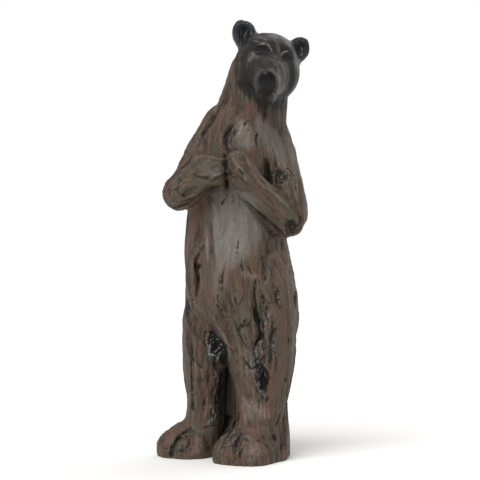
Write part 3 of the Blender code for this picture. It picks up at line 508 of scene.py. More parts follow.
# Lines on the sides and the back: bearing, style, then points of u, v and full width.
ROUND = (
    (90, "split", ((246, 236, 1.6), (248, 250, 4.0), (246, 266, 4.4), (243, 282, 1.8))),
    (90, "crease", ((226, 330, 2), (230, 350, 4.4), (226, 372, 4.0), (230, 392, 2))),
    (90, "ridge", ((236, 312, 2), (240, 340, 4), (238, 372, 2))),
    (90, "crack", ((256, 300, 1.4), (259, 322, 2.8), (257, 346, 1.4))),
    (90, "crack", ((238, 420, 1.4), (236, 436, 3.0), (238, 452, 1.4))),
    (90, "groove", ((246, 116, 3), (242, 140, 6), (240, 166, 6), (232, 192, 4))),
    (270, "split", ((232, 242, 1.6), (230, 256, 4.2), (233, 272, 4.0), (235, 286, 1.6))),
    (270, "crease", ((250, 322, 2), (246, 344, 4.2), (250, 370, 4.0), (248, 396, 2))),
    (270, "crack", ((226, 300, 1.4), (224, 322, 2.6), (228, 344, 1.4))),
    (270, "groove", ((232, 118, 3), (238, 144, 6), (238, 168, 5), (246, 190, 4))),
    (180, "split", ((246, 300, 1.6), (243, 318, 4.8), (245, 338, 5.2), (241, 358, 2.0))),
    (180, "crease", ((226, 150, 2), (230, 176, 4.6), (228, 204, 4.6), (233, 232, 2.4))),
    (180, "crease", ((262, 158, 2), (257, 186, 4.4), (259, 216, 4.4), (254, 244, 2))),
    (180, "ridge", ((244, 96, 2), (241, 124, 4.6), (244, 156, 5), (243, 190, 4.4), (246, 222, 2))),
    (180, "crack", ((216, 256, 1.4), (219, 276, 3.4), (216, 296, 3.2), (218, 312, 1.4))),
    (180, "crack", ((266, 268, 1.4), (264, 288, 3.2), (267, 306, 1.6))),
    (180, "split", ((207, 352, 1.6), (210, 370, 4.0), (207, 388, 1.8))),
    (180, "crack", ((262, 384, 1.4), (260, 402, 3.0), (263, 420, 1.4))),
    (180, "groove", ((232, 60, 3), (226, 76, 6), (222, 94, 5))),
    (180, "mist", ((236, 160, 14), (236, 210, 40), (240, 270, 22))),
    (135, "crack", ((240, 200, 1.4), (244, 222, 3.2), (241, 246, 1.4))),
    (225, "crack", ((236, 206, 1.4), (232, 228, 3.2), (236, 252, 1.4))),
    (135, "rust", ((236, 300, 10), (238, 336, 22), (238, 372, 10))),
    (225, "rust", ((240, 290, 10), (244, 330, 22), (240, 368, 10))),
)

# Knots: bearing, or None for the front, then u, v, half width, half height, lean in degrees, depth
# in units, rings, and how much grey catches on the rings.
KNOTS = (
    (None, 215.4, 346.0, 10.4, 12.0, -20.0, 2.2, 2.8, 1.15),
    (None, 291.0, 226.6, 8.4, 7.4, 20.0, 1.8, 2.0, 0.35),
    (None, 281.0, 177.0, 8.4, 7.4, -30.0, 1.2, 2.2, 0.5),
    (None, 263.2, 379.0, 6.6, 14.5, 5.0, 2.8, 1.6, 0.6),
    (None, 276.8, 295.0, 4.0, 8.8, 6.0, 0.8, 1.2, 0.8),
    (180, 226.0, 268.0, 8.0, 12.0, 8.0, 1.8, 2.6, 0.7),
    (180, 254.0, 206.0, 6.0, 9.0, -10.0, 1.4, 2.2, 0.7),
    (180, 262.0, 352.0, 7.0, 12.0, 6.0, 2.0, 2.4, 0.7),
    (90, 232.0, 300.0, 8.0, 11.0, -12.0, 1.8, 2.6, 0.6),
    (270, 246.0, 306.0, 7.0, 11.0, 10.0, 1.8, 2.4, 0.6),
    (90, 254.0, 396.0, 5.0, 9.0, 0.0, 1.6, 2.0, 0.6),
)
KNOT_EDGE = 1.15  # how far out a knot's rings end, as a share of its size
KNOT_REACH = 1.3  # how far out its points are looked for
RING_HEIGHT = 0.22  # height of its rings for its depth
KNOT_WEAR = 0.6  # how far the fibres have broken up in it
KNOT_PARTS = 0.75  # how far the fibres part round it
KNOT_ROUND = 1.6  # how far out they do, as a share of its size

# Each forearm's fibres run along it: paw end and elbow end, and how far round that line in metres
FOREARMS = (
    ((232.0, 160.0), (286.0, 224.0), 0.040),
    ((216.0, 170.0), (168.0, 194.0), 0.038),
)

# Fine checks strewn on the sides and the back: how many, then the ranges of bearing, u, v, length
# and width, and how far each is down a check and how wide there, as shares
FISSURES = 150
FISSURE_BEARINGS = (55.0, 305.0)
FISSURE_U = (200.0, 280.0)
FISSURE_V = (112.0, 450.0)
FISSURE_LENGTH = (7.0, 34.0)
FISSURE_WIDTH = (1.0, 2.4)
FISSURE_FORM = ((0.0, 0.4), (0.35, 1.0), (0.7, 0.9), (1.0, 0.4))

# Rounded places: middle and radii, in metres
HEAD = (
    ((0.084, -0.009, 0.806), (0.074, 0.112, 0.092)),
    ((0.070, -0.086, 0.774), (0.056, 0.066, 0.058)),
)
EARS = (
    ((0.0226, -0.0003, 0.8694), (0.027, 0.020, 0.031)),
    ((0.135, 0.0034, 0.8388), (0.025, 0.020, 0.029)),
)
# Where these begin to fade and where they end, as shares of the radii: the head's coat, its low
# fibres, and the ears' coat
HEAD_PAINTED = (0.80, 1.35)
HEAD_SMOOTH = (0.80, 1.15)
EARS_PAINTED = (0.98, 1.22)

# Kept for each vertex: how much of each paint lies there, and where each part's own coat lies
MASKS = (
    "worn", "soot_wash_and_shade", "smoke_wash_and_shade", "tan", "silver_and_highlight", "ash", "rose", "rust", "gloss", "ears", "edge", "rub_and_highlight",
    "head",
)
# How fast the skin turns, in radians a metre, where dirt settles or the brush catches in full,
# and the most that it holds: close by, and in its wider surroundings
SHARP_TURN, SHARP_MOST = 420.0, 0.7
BROAD_TURN, BROAD_MOST = 260.0, 0.5
SHARP_PASSES, BROAD_PASSES = 1, 8

# Shares of paint: soot in pits, silver on crests, smoke over worn fibres, how much less the edges
# of the head catch, and soot in a knot's rings, first without its grey and then for it
PIT_SOOT, CREST_SILVER, WORN_SMOKE, HEAD_SPARED = 0.9, 0.7, 0.55, 0.7
RING_SOOT, GREY_SOOT = 0.14, 0.24

EYES = ((268.4, 50.6, 3.4, 2.6, 20.0), (285.6, 56.2, 3.0, 2.4, -24.0))  # u, v, radii, lean
EYE_LIFT = 0.0010  # how far the eyes stand out under their lids, in metres
EYE_REACH = 6.0  # how far round an eye its points are looked for
FACE = (270.0, 60.0, 40.0, 45.0)  # u, v and radii of the place whose skin isn't thinned
SIDEWAYS = 0.1  # a normal with less y than this looks forward

MIX_A, MIX_B, MIX_RESULT = 6, 7, 2  # colour sockets of a mix node
MIX_LOW, MIX_HIGH = 2, 3  # its sockets for plain numbers


def linear(hex_colour):
    """An sRGB hex colour as linear red, green and blue."""
    parts = (int(hex_colour[i:i + 2], 16) / 255 for i in (1, 3, 5))
    return tuple(c / 12.92 if c <= 0.04045 else ((c + 0.055) / 1.055) ** 2.4 for c in parts)


class BearCarving(PropertyGroup):
    skin_cell: FloatProperty(
        name="Skin cell", description="Cell of the skin that the carving is cut in",
        default=0.0016, min=0.001, unit="LENGTH",
    )
    triangles: IntProperty(
        name="Triangles", description="Faces of the finished figure", default=192000, min=20000,
    )
    fibre_height: FloatProperty(
        name="Fibre height", description="How far the wood fibres stand up",
        default=0.0011, unit="LENGTH",
    )
    fibre_width: FloatProperty(
        name="Fibre width", description="Width of one bundle of fibres",
        default=0.008, min=0.001, unit="LENGTH",
    )
    fibre_length: FloatProperty(
        name="Fibre length", description="Length of one bundle of fibres",
        default=0.12, min=0.01, unit="LENGTH",
    )
    check_depth: FloatProperty(
        name="Check depth", description="Depth of the fine drying checks",
        default=0.0013, unit="LENGTH",
    )
    wear_depth: FloatProperty(
        name="Wear depth", description="How deep the fibres have broken up in worn places",
        default=0.0021, unit="LENGTH",
    )
    ragged: FloatProperty(
        name="Ragged edges", description="How uneven the edges of cracks are, as a share of width",
        default=0.3, min=0.0, max=0.8, subtype="FACTOR",
    )
    seed: IntProperty(name="Seed", description="Which random wood is used", default=7, min=0)


def colour_property(name, description, hex_colour):
    """A colour that the user may change, from its hex value."""
    return FloatVectorProperty(
        name=name, description=description, default=linear(hex_colour),
        min=0.0, max=1.0, size=3, subtype="COLOR",
    )


class BearPaint(PropertyGroup):
    brown: colour_property("Brown", "Ground coat of weathered wood", "#5f4f41")
    umber: colour_property("Umber", "Darker streaks along the grain", "#30271f")
    rust: colour_property("Rust", "Warm red-brown patches", "#5f4337")
    moss: colour_property("Moss", "Dull green-grey patches", "#47473d")
    ash: colour_property("Ash", "Grey wash on belly and breast", "#7a7773")
    rose: colour_property("Rose", "Pinkish grey in the wash", "#806f6a")
    # the smoke is also painted shade, in hollows, under the head and the arms, on the face and between the
    # legs
    smoke_wash_and_shade: colour_property("Smoke", "Thin dark wash round cracks", "#211f1d")
    dusk: colour_property("Dusk", "Dark olive grey of the head", "#1f1e1a")
    # the haze is also painted highlight on the forehead, the cheeks, beside the nose and down the head's
    # left rim
    haze_and_highlight: colour_property("Haze", "Light olive grey rubbed on the head", "#6c695f")
    tan: colour_property("Tan", "Dry-brushed edges", "#877b68")
    # the silver is also painted highlight on the far eye, the lids and the top of the nose
    silver_and_highlight: colour_property("Silver", "Dry-brushed strands in knots", "#989ca0")
    # the soot is also painted shade deep in the crotch, under the lids and over the mouth
    soot_wash_and_shade: colour_property("Soot", "Black wash in cracks", "#1f1d1a")
    gloss: colour_property("Gloss black", "Eyes and nose", "#0c0b0b")
    slate: colour_property("Slate", "Blue-black of the ears", "#212529")


class BearStage(PropertyGroup):
    floor_side: FloatProperty(
        name="Floor", description="Side of the square floor", default=40.0, unit="LENGTH",
    )
    key: FloatProperty(name="Key light", description="Strength from the upper left", default=2.35)
    back: FloatProperty(name="Back light", description="Strength from behind", default=0.9)
    sky: FloatProperty(name="Sky", description="Strength of the light all round", default=0.5)


def positions(mesh):
    """The mesh's vertices as rows of x, y, z."""
    flat = np.empty(len(mesh.vertices) * 3, np.float32)
    mesh.vertices.foreach_get("co", flat)
    return flat.reshape(-1, 3).astype(float)


def normals(mesh):
    """The mesh's vertex normals as rows."""
    flat = np.empty(len(mesh.vertices) * 3, np.float32)
    mesh.vertex_normals.foreach_get("vector", flat)
    return flat.reshape(-1, 3).astype(float)


def move_to(mesh, points):
    """Puts the mesh's vertices at these rows."""
    mesh.vertices.foreach_set("co", points.astype(np.float32).ravel())
    mesh.update()


def store(mesh, name, values):
    """Keeps one number, or one row of three, for each vertex under this name."""
    kind, key = ("FLOAT", "value") if values.ndim == 1 else ("FLOAT_VECTOR", "vector")
    kept = mesh.attributes.get(name) or mesh.attributes.new(name, kind, "POINT")
    kept.data.foreach_set(key, values.astype(np.float32).ravel())


def read(mesh, name):
    """The numbers kept for the vertices under this name."""
    values = np.empty(len(mesh.vertices), np.float32)
    mesh.attributes[name].data.foreach_get("value", values)
    return values.astype(float)


def bake(obj):
    """Makes the object's mesh what its modifiers leave, and clears them."""
    graph = bpy.context.evaluated_depsgraph_get()
    mesh = bpy.data.meshes.new_from_object(
        obj.evaluated_get(graph), preserve_all_data_layers=True, depsgraph=graph
    )
    obj.modifiers.clear()
    obj.data = mesh


def smoothstep(low, high, values):
    """0 below low, 1 above high, and an even rise between."""
    t = np.clip((values - low) / (high - low), 0.0, 1.0)
    return t * t * (3.0 - 2.0 * t)


def out_of(points, places):
    """How far out of the nearest rounded place each point lies, as a share of its radii."""
    gaps = [np.linalg.norm((points - np.array(c)) / np.array(r), axis=1) for c, r in places]
    return np.minimum.reduce(gaps)


def raise_to(values, near, amounts):
    """Lifts the values of these points to at least these amounts."""
    values[near] = np.maximum(values[near], amounts)


def rounded_solid():
    """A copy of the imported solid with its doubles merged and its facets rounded. The rims of the
    soles stay sharp."""
    bm = bmesh.new()
    bm.from_mesh(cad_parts["bear_statue"].data)
    bmesh.ops.remove_doubles(bm, verts=bm.verts, dist=MERGED)
    crease = bm.edges.layers.float.new("crease_edge")
    for edge in bm.edges:
        if all(abs(v.co.z) < MERGED for v in edge.verts):
            if sum(face.normal.z < -0.999 for face in edge.link_faces) == 1:
                edge[crease] = 1.0
    mesh = bpy.data.meshes.new("bear_carving")
    bm.to_mesh(mesh)
    bm.free()
    bear = bpy.data.objects.new("bear_carving", mesh)
    bpy.context.scene.collection.objects.link(bear)
    rounding = bear.modifiers.new("rounding", "SUBSURF")
    rounding.levels = rounding.render_levels = 2
    bake(bear)
    return bear


def reskin(bear, cell, passes):
    """Gives the figure one even skin of this cell, and smooths out its steps."""
    skin = bear.modifiers.new("skin", "REMESH")
    skin.mode = "VOXEL"
    skin.voxel_size = cell
    soften = bear.modifiers.new("soften", "SMOOTH")
    soften.factor = 0.5
    soften.iterations = passes
    bake(bear)


def keep_in_box(mesh):
    """Presses back whatever stands out of the solid's box, so the soles lie flat on the ground."""
    move_to(mesh, np.clip(positions(mesh), np.array(CAD_LOW), np.array(CAD_HIGH)))


def sight(bearing, u, v):
    """Where a line of sight starts, and which way it goes."""
    right, down = u - VIEW_MIDDLE[0], v - VIEW_MIDDLE[1]
    if bearing is None:
        return EYE, Vector((right, FOCAL, -down)).normalized()
    turn = math.radians(bearing)
    across = Vector((math.cos(turn), math.sin(turn), 0.0))
    inward = Vector((-math.sin(turn), math.cos(turn), 0.0))
    height = Vector((0.0, 0.0, EYE.z - down * UNIT))
    return across * (right * UNIT) + height - inward * STAND_OFF, inward


def flowing(rows, gap):
    """The rows joined by a Catmull-Rom curve, with points about this far apart."""
    rows = np.array(rows, float)
    padded = np.vstack([2 * rows[0] - rows[1], rows, 2 * rows[-1] - rows[-2]])
    joined = []
    for before, a, b, after in zip(padded, padded[1:], padded[2:], padded[3:]):
        steps = max(1, math.ceil(np.linalg.norm((b - a)[:2]) / gap))
        for t in np.arange(steps) / steps:
            bend = 2 * before - 5 * a + 4 * b - after
            twist = 3 * a - before - 3 * b + after
            joined.append(a + 0.5 * t * ((b - before) + t * (bend + t * twist)))
    return np.vstack([*joined, rows[-1]])


def lay(tree, bearing, rows, rng, ragged):
    """Lays a drawn line on the skin: rows of place, the way out of the skin there, between its
    normal and the line of sight, and half width, in metres."""
    drawn = flowing(rows, max(DRAW_STEP, max(row[2] for row in rows) / WIDE_STEPS))
    window = np.ones(EVENED) / math.sqrt(EVENED)
    waver, stray = (
        np.convolve(rng.normal(size=len(drawn) + EVENED - 1), window, "valid") for _ in range(2)
    )
    laid = []
    for (u, v, width), w, aside in zip(drawn, waver, stray):
        shift = STRAY * ragged * aside * min(width, STRAY_WIDTH)
        start, way = sight(bearing, u + shift, v)
        place, normal, _, _ = tree.ray_cast(start, way)
        if place is not None:
            half = max(width, THINNEST) / 2 * UNIT * max(0.5, 1.0 + ragged * w)
            laid.append((*place, *(normal - way), half))
    laid = np.array(laid)
    if len(laid):
        padded = np.pad(laid[:, 3:6], ((LEAN_STEPS, LEAN_STEPS), (0, 0)), "edge")
        smooth = sum(padded[i:i + len(laid)] for i in range(2 * LEAN_STEPS + 1))
        laid[:, 3:6] = smooth / np.linalg.norm(smooth, axis=1)[:, None]
    return laid


def nearness(points, laid, most=NEAR):
    """Which points lie near a laid line, and how far across it, as a share of its half width. The
    share is below `most`."""
    widest = laid[:, 6].max()
    reach, depth, height = max(HOVER, widest * most), max(BURIED, widest), max(HOVER, widest / 2)
    low, high = laid[:, :3].min(0) - reach, laid[:, :3].max(0) + reach
    near = np.nonzero(((points > low) & (points < high)).all(1))[0]
    shares = np.full(len(near), FAR)
    for start in range(0, len(near), BATCH):
        part = near[start:start + BATCH]
        gaps = points[part, None, :] - laid[None, :, :3]
        rise = np.einsum("psk,sk->ps", gaps, laid[:, 3:6])
        across = np.sqrt(np.maximum((gaps**2).sum(2) - rise**2, 0.0))
        share = np.where((rise < height) & (rise > -depth), across / laid[:, 6], FAR)
        shares[start:start + BATCH] = share.min(1)
    close = shares < most
    return near[close], shares[close]


def strewn(rng):
    """The fine checks of the sides and the back, as lines like those of ROUND."""
    lines = []
    for _ in range(FISSURES):
        bearing, u, v = (rng.uniform(*r) for r in (FISSURE_BEARINGS, FISSURE_U, FISSURE_V))
        length, width = rng.uniform(*FISSURE_LENGTH), rng.uniform(*FISSURE_WIDTH)
        bends = u + np.cumsum(rng.normal(0.0, length / 14, len(FISSURE_FORM)))
        rows = tuple(
            (bend, v + length * down, width * full)
            for bend, (down, full) in zip(bends, FISSURE_FORM)
        )
        lines.append((bearing, "crack", rows))
    return lines


def drawn_lines(tree, settings):
    """Every line of the carving and the paint, laid on the skin: style and rows."""
    rng = np.random.default_rng(settings.seed)
    lines = [(None, style, rows) for style, rows in FRONT] + list(ROUND) + strewn(rng)
    laid = [
        (style, lay(tree, side, rows, rng, settings.ragged if STYLES[style][0] else 0.0))
        for side, style, rows in lines
    ]
    return [(style, rows) for style, rows in laid if len(rows)]


def leaning(tree, bearing, u, v, lean):
    """A place on the skin, and its axes across and along, which lean by so many degrees."""
    middle, normal, _, _ = tree.ray_cast(*sight(bearing, u, v))
    side = Vector((0.0, 0.0, 1.0)).cross(normal).normalized()
    turn = math.radians(lean)
    along = normal.cross(side) * math.cos(turn) + side * math.sin(turn)
    return np.array(middle), np.array(normal.cross(along)), np.array(along)


def knot_places(tree):
    """Every knot laid on the skin: middle, axes, half sizes, depth, rings and grey."""
    return [
        (*leaning(tree, side, u, v, lean), half_u * UNIT, half_v * UNIT, depth * UNIT, rings, grey)
        for side, u, v, half_u, half_v, lean, depth, rings, grey in KNOTS
    ]


def knot_field(points, knot):
    """Points near a knot, how far out each lies, and the height of its rings there."""
    middle, wide, long, half_wide, half_long, _, rings, _ = knot
    gaps = points - middle
    near = np.nonzero((gaps**2).sum(1) < (KNOT_REACH * max(half_wide, half_long)) ** 2)[0]
    a, b = gaps[near] @ wide / half_wide, gaps[near] @ long / half_long
    angle, turn = np.arctan2(b, a), 40.0 * middle.sum()
    out = np.hypot(a, b) * (
        1.0 + 0.09 * np.sin(2 * angle + turn) + 0.05 * np.sin(3 * angle + 2 * turn)
        + 0.05 * np.sin(7 * angle + 3 * turn)
    )
    ripple = np.cos(
        2 * math.pi * rings * out + angle + 0.8 * np.sin(2 * angle + 5 * out + turn)
        + 0.4 * np.sin(5 * angle + 9 * out)
    )
    inside = out < KNOT_EDGE
    return near[inside], out[inside], ripple[inside]


def eye_places(tree):
    """Both eyes laid on the skin: middle, and axes for their radii in units."""
    placed = []
    for u, v, half_u, half_v, lean in EYES:
        middle, wide, high = leaning(tree, None, u, v, lean)
        placed.append((middle, wide / half_u, high / half_v))
    return placed


def eye_field(points, eye):
    """Points near an eye, and how high each stands, as a share of the eye's lift."""
    middle, wide, high = eye
    gaps = (points - middle) / UNIT
    near = np.nonzero((gaps**2).sum(1) < EYE_REACH**2)[0]
    share = (gaps[near] @ wide) ** 2 + (gaps[near] @ high) ** 2
    return near, np.sqrt(np.clip(1.0 - share, 0.0, 1.0))


def cut_in(bear, lines, knots, eyes):
    """Moves the skin along its normals: cracks and folds in, ridges, lids and eyes out."""
    points, out = positions(bear.data), normals(bear.data)
    push, lift = np.zeros(len(points)), np.zeros(len(points))
    for style, laid in lines:
        deep, rounded, _ = STYLES[style]
        if not deep:
            continue
        near, share = nearness(points, laid)
        across, fullness = (2, 1.5) if rounded else (1, 1.0)
        form = np.clip(1.0 - share**across, 0.0, 1.0) ** fullness
        raise_to(push if deep > 0 else lift, near, abs(deep) * np.median(laid[:, 6]) * form)
    for knot in knots:
        near, share, ripple = knot_field(points, knot)
        bowl = knot[5] * np.clip(1.0 - share**2, 0.0, 1.0)
        fade = np.clip(KNOT_EDGE - share, 0.0, 1.0) ** 0.5
        push[near] += bowl - RING_HEIGHT * knot[5] * ripple * fade
    for eye in eyes:
        near, form = eye_field(points, eye)
        raise_to(lift, near, EYE_LIFT * form)
    move_to(bear.data, points + out * (FULLNESS + lift - push)[:, None])


def grain_of(points, tree, knots):
    """Where each point lies in the wood: the third number runs along the fibres, which go up the
    body, round the knots and along the forearms."""
    x, y, z = points.T
    grain = points + GRAIN_WAVER * np.stack([
        np.sin(23 * z + 9 * y) + 0.6 * np.sin(51 * z + 17 * x),
        np.sin(19 * z - 11 * x) + 0.6 * np.sin(43 * z + 13 * y),
        np.zeros(len(points)),
    ], axis=1)
    for middle, wide, _, half_wide, half_long, *_ in knots:
        gaps = points - middle
        nearby = np.exp(-(gaps**2).sum(1) / (KNOT_ROUND * max(half_wide, half_long)) ** 2)
        grain -= np.outer(KNOT_PARTS * nearby * (gaps @ wide), wide)
    for paw, elbow, width in FOREARMS:
        a, b = (tree.ray_cast(*sight(None, *end))[0] for end in (paw, elbow))
        along = (b - a).normalized()
        across = along.cross(Vector((0.0, 1.0, 0.0))).normalized()
        turned = points @ np.array([across, across.cross(along), along]).T
        share = np.clip((points - np.array(a)) @ np.array(along) / (b - a).length, 0.0, 1.0)
        gap = np.linalg.norm(points - np.array(a) - np.outer(share, b - a), axis=1)
        weight = 1.0 - smoothstep(0.7 * width, width, gap)
        grain += weight[:, None] * (turned - grain)
    return grain


def add(tree, kind, inputs=None, **settings):
    """Adds a node: its settings, then each input's value or what feeds it. That is a socket, or a
    node, which stands for its first output."""
    node = tree.nodes.new(kind)
    for name, value in settings.items():
        setattr(node, name, value)
    for key, value in (inputs or {}).items():
        if isinstance(value, bpy.types.Node):
            value = value.outputs[0]
        if isinstance(value, bpy.types.NodeSocket):
            tree.links.new(value, node.inputs[key])
        else:
            node.inputs[key].default_value = value
    return node


def fibre_tree():
    """The node tree that raises the wood fibres, cuts the fine drying checks and breaks the fibres
    up in worn places. Each check is where slow noise drawn out along the grain crosses its
    middle."""
    tree = bpy.data.node_groups.new("wood_fibres", "GeometryNodeTree")
    face = tree.interface
    face.new_socket("Geometry", in_out="INPUT", socket_type="NodeSocketGeometry")
    for name in ("Fibre height", "Fibre width", "Fibre length", "Check depth", "Wear depth", "Seed"):
        face.new_socket(name, in_out="INPUT", socket_type="NodeSocketFloat")
    face.new_socket("Material", in_out="INPUT", socket_type="NodeSocketMaterial")
    face.new_socket("Geometry", in_out="OUTPUT", socket_type="NodeSocketGeometry")
    given = add(tree, "NodeGroupInput").outputs
    grain, rough, worn = (
        add(tree, "GeometryNodeInputNamedAttribute", {"Name": name}, data_type=kind)
        for name, kind in (("grain", "FLOAT_VECTOR"), ("rough", "FLOAT"), ("worn", "FLOAT"))
    )
    bundle = add(tree, "ShaderNodeCombineXYZ", {
        "X": given["Fibre width"], "Y": given["Fibre width"], "Z": given["Fibre length"],
    })
    wood = add(tree, "ShaderNodeVectorMath", {0: grain, 1: bundle}, operation="DIVIDE")
    noise = {}
    # Each noise: how often it repeats in a bundle across and along, its detail and its own seed
    for name, size, detail, shift in (
        ("fine", (1.0, 1.0, 1.0), 2.0, 0.0),
        ("broad", (0.35, 0.35, 0.55), 1.0, 3.1),
        ("checks", (0.5, 0.5, 0.45), 1.5, 7.7),
        ("checked", (0.2, 0.2, 1.1), 2.0, 12.3),
        ("splinters", (2.8, 2.8, 9.0), 3.0, 21.9),
    ):
        scaled = add(tree, "ShaderNodeVectorMath", {0: wood, 1: size}, operation="MULTIPLY")
        seed = add(tree, "ShaderNodeMath", {0: given["Seed"], 1: shift}, operation="ADD")
        noise[name] = add(tree, "ShaderNodeTexNoise", {
            "Vector": scaled, "W": seed, "Scale": 1.0, "Detail": detail, "Roughness": 0.55,
        }, noise_dimensions="4D")
    fine = add(tree, "ShaderNodeMapRange", {
        "Value": noise["fine"], "From Min": 0.3, "From Max": 0.7, "To Min": -1.0,
    })
    broad = add(tree, "ShaderNodeMapRange", {
        "Value": noise["broad"], "From Min": 0.3, "From Max": 0.7, "To Min": -1.5, "To Max": 1.5,
    })
    both = add(tree, "ShaderNodeMath", {0: fine, 1: broad}, operation="ADD")
    fibres = add(tree, "ShaderNodeMath", {0: both, 1: given["Fibre height"]}, operation="MULTIPLY")
    middle = add(tree, "ShaderNodeMath", {0: noise["checks"], 1: 0.5}, operation="SUBTRACT")
    off = add(tree, "ShaderNodeMath", {0: middle}, operation="ABSOLUTE")
    line = add(tree, "ShaderNodeMapRange", {
        "Value": off, "From Min": 0.0, "From Max": 0.016, "To Min": 1.0, "To Max": 0.0,
    })
    where = add(tree, "ShaderNodeMapRange", {
        "Value": noise["checked"], "From Min": 0.60, "From Max": 0.66,
    })
    checks = add(tree, "ShaderNodeMath", {0: line, 1: where}, operation="MULTIPLY")
    sunk = add(tree, "ShaderNodeMath", {0: checks, 1: given["Check depth"]}, operation="MULTIPLY")
    level = add(tree, "ShaderNodeMath", {0: fibres, 1: sunk}, operation="SUBTRACT")
    raised = add(tree, "ShaderNodeMath", {0: level, 1: rough}, operation="MULTIPLY")
    dark = add(tree, "ShaderNodeMath", {0: checks, 1: rough}, operation="MULTIPLY")
    broken = add(tree, "ShaderNodeMapRange", {
        "Value": noise["splinters"], "From Min": 0.3, "From Max": 0.7, "To Min": -1.4,
        "To Max": 0.9,
    })
    relief = add(tree, "ShaderNodeMath", {0: broken, 1: given["Wear depth"]}, operation="MULTIPLY")
    height = add(tree, "ShaderNodeMath", {0: relief, 1: worn, 2: raised}, operation="MULTIPLY_ADD")
    pits = add(tree, "ShaderNodeMapRange", {
        "Value": noise["splinters"], "From Min": 0.50, "From Max": 0.38,
    })
    crests = add(tree, "ShaderNodeMapRange", {
        "Value": noise["splinters"], "From Min": 0.54, "From Max": 0.66,
    })
    sooty = add(tree, "ShaderNodeMath", {0: pits, 1: worn, 2: dark}, operation="MULTIPLY_ADD")
    rubbed = add(tree, "ShaderNodeMath", {0: crests, 1: worn}, operation="MULTIPLY")
    skin = given["Geometry"]
    for name, value in (("pits", sooty), ("crests", rubbed)):
        skin = add(tree, "GeometryNodeStoreNamedAttribute", {
            "Geometry": skin, "Name": name, "Value": value,
        }, data_type="FLOAT", domain="POINT")
    normal = add(tree, "GeometryNodeInputNormal")
    offset = add(tree, "ShaderNodeVectorMath", {0: normal, "Scale": height}, operation="SCALE")
    moved = add(tree, "GeometryNodeSetPosition", {"Geometry": skin, "Offset": offset})
    real = add(tree, "GeometryNodeRealizeInstances", {"Geometry": moved})
    painted = add(tree, "GeometryNodeSetMaterial", {"Geometry": real, "Material": given["Material"]})
    add(tree, "NodeGroupOutput", {0: painted})
    return tree


def raise_fibres(bear, settings, material):
    """Runs the fibre tree on the figure and keeps its result as plain mesh."""
    tree = fibre_tree()
    given = {
        "Fibre height": settings.fibre_height, "Fibre width": settings.fibre_width,
        "Fibre length": settings.fibre_length, "Check depth": settings.check_depth,
        "Wear depth": settings.wear_depth, "Seed": float(settings.seed), "Material": material,
    }
    modifier = bear.modifiers.new("fibres", "NODES")
    modifier.node_group = tree
    for item in tree.interface.items_tree:
        if item.in_out == "INPUT" and item.name in given:
            modifier[item.identifier] = given[item.name]
    bake(bear)


def on_face(mesh):
    """Which vertices lie on the front of the face, as the camera sees it."""
    x, y, z = (positions(mesh) - np.array(EYE)).T
    u, v = VIEW_MIDDLE[0] + FOCAL * x / y, VIEW_MIDDLE[1] - FOCAL * z / y
    middle_u, middle_v, half_u, half_v = FACE
    inside = ((u - middle_u) / half_u) ** 2 + ((v - middle_v) / half_v) ** 2 < 1.0
    return inside & (normals(mesh)[:, 1] < SIDEWAYS)


def thin_out(bear, triangles):
    """Brings the figure to this many triangles, close together where the form turns fast and on
    the face, which keeps its fine skin."""
    others = bear.vertex_groups.new(name="thinned")
    others.add(np.nonzero(~on_face(bear.data))[0].tolist(), 1.0, "REPLACE")
    bear.data.calc_loop_triangles()
    thin = bear.modifiers.new("thin", "DECIMATE")
    thin.ratio = min(1.0, triangles / len(bear.data.loop_triangles))
    thin.vertex_group = others.name
    bake(bear)
    bear.vertex_groups.clear()


def turning(mesh, passes):
    """How fast the skin turns at each vertex, averaged over its surroundings: above nought where
    it stands out, below where it is hollow."""
    points, out = positions(mesh), normals(mesh)
    ends = np.empty(len(mesh.edges) * 2, np.int32)
    mesh.edges.foreach_get("vertices", ends)
    a, b = ends.reshape(-1, 2).T
    span = points[b] - points[a]
    turn = ((out[b] - out[a]) * span).sum(1) / np.maximum((span**2).sum(1), 1e-9)
    count = np.bincount(a, minlength=len(points)) + np.bincount(b, minlength=len(points))
    both = np.bincount(a, turn, len(points)) + np.bincount(b, turn, len(points))
    value = both / np.maximum(count, 1)
    for _ in range(passes):
        around = np.bincount(a, value[b], len(points)) + np.bincount(b, value[a], len(points))
        value = 0.5 * value + 0.5 * around / np.maximum(count, 1)
    return value


def held(sharp, broad):
    """How much paint the skin holds where it turns this fast."""
    return (
        np.clip(sharp / SHARP_TURN, 0.0, SHARP_MOST) + np.clip(broad / BROAD_TURN, 0.0, BROAD_MOST)
    )


def worn_places(points, lines, knots):
    """How far the fibres have broken up at each point."""
    worn = np.zeros(len(points))
    for style, laid in lines:
        amount = STYLES[style][2].get("worn")
        if amount:
            near, share = nearness(points, laid)
            raise_to(worn, near, amount * (1.0 - smoothstep(*WORN_EDGE, share)))
    for knot in knots:
        near, share, _ = knot_field(points, knot)
        raise_to(worn, near, KNOT_WEAR * (1.0 - smoothstep(0.6, KNOT_EDGE, share)))
    return worn


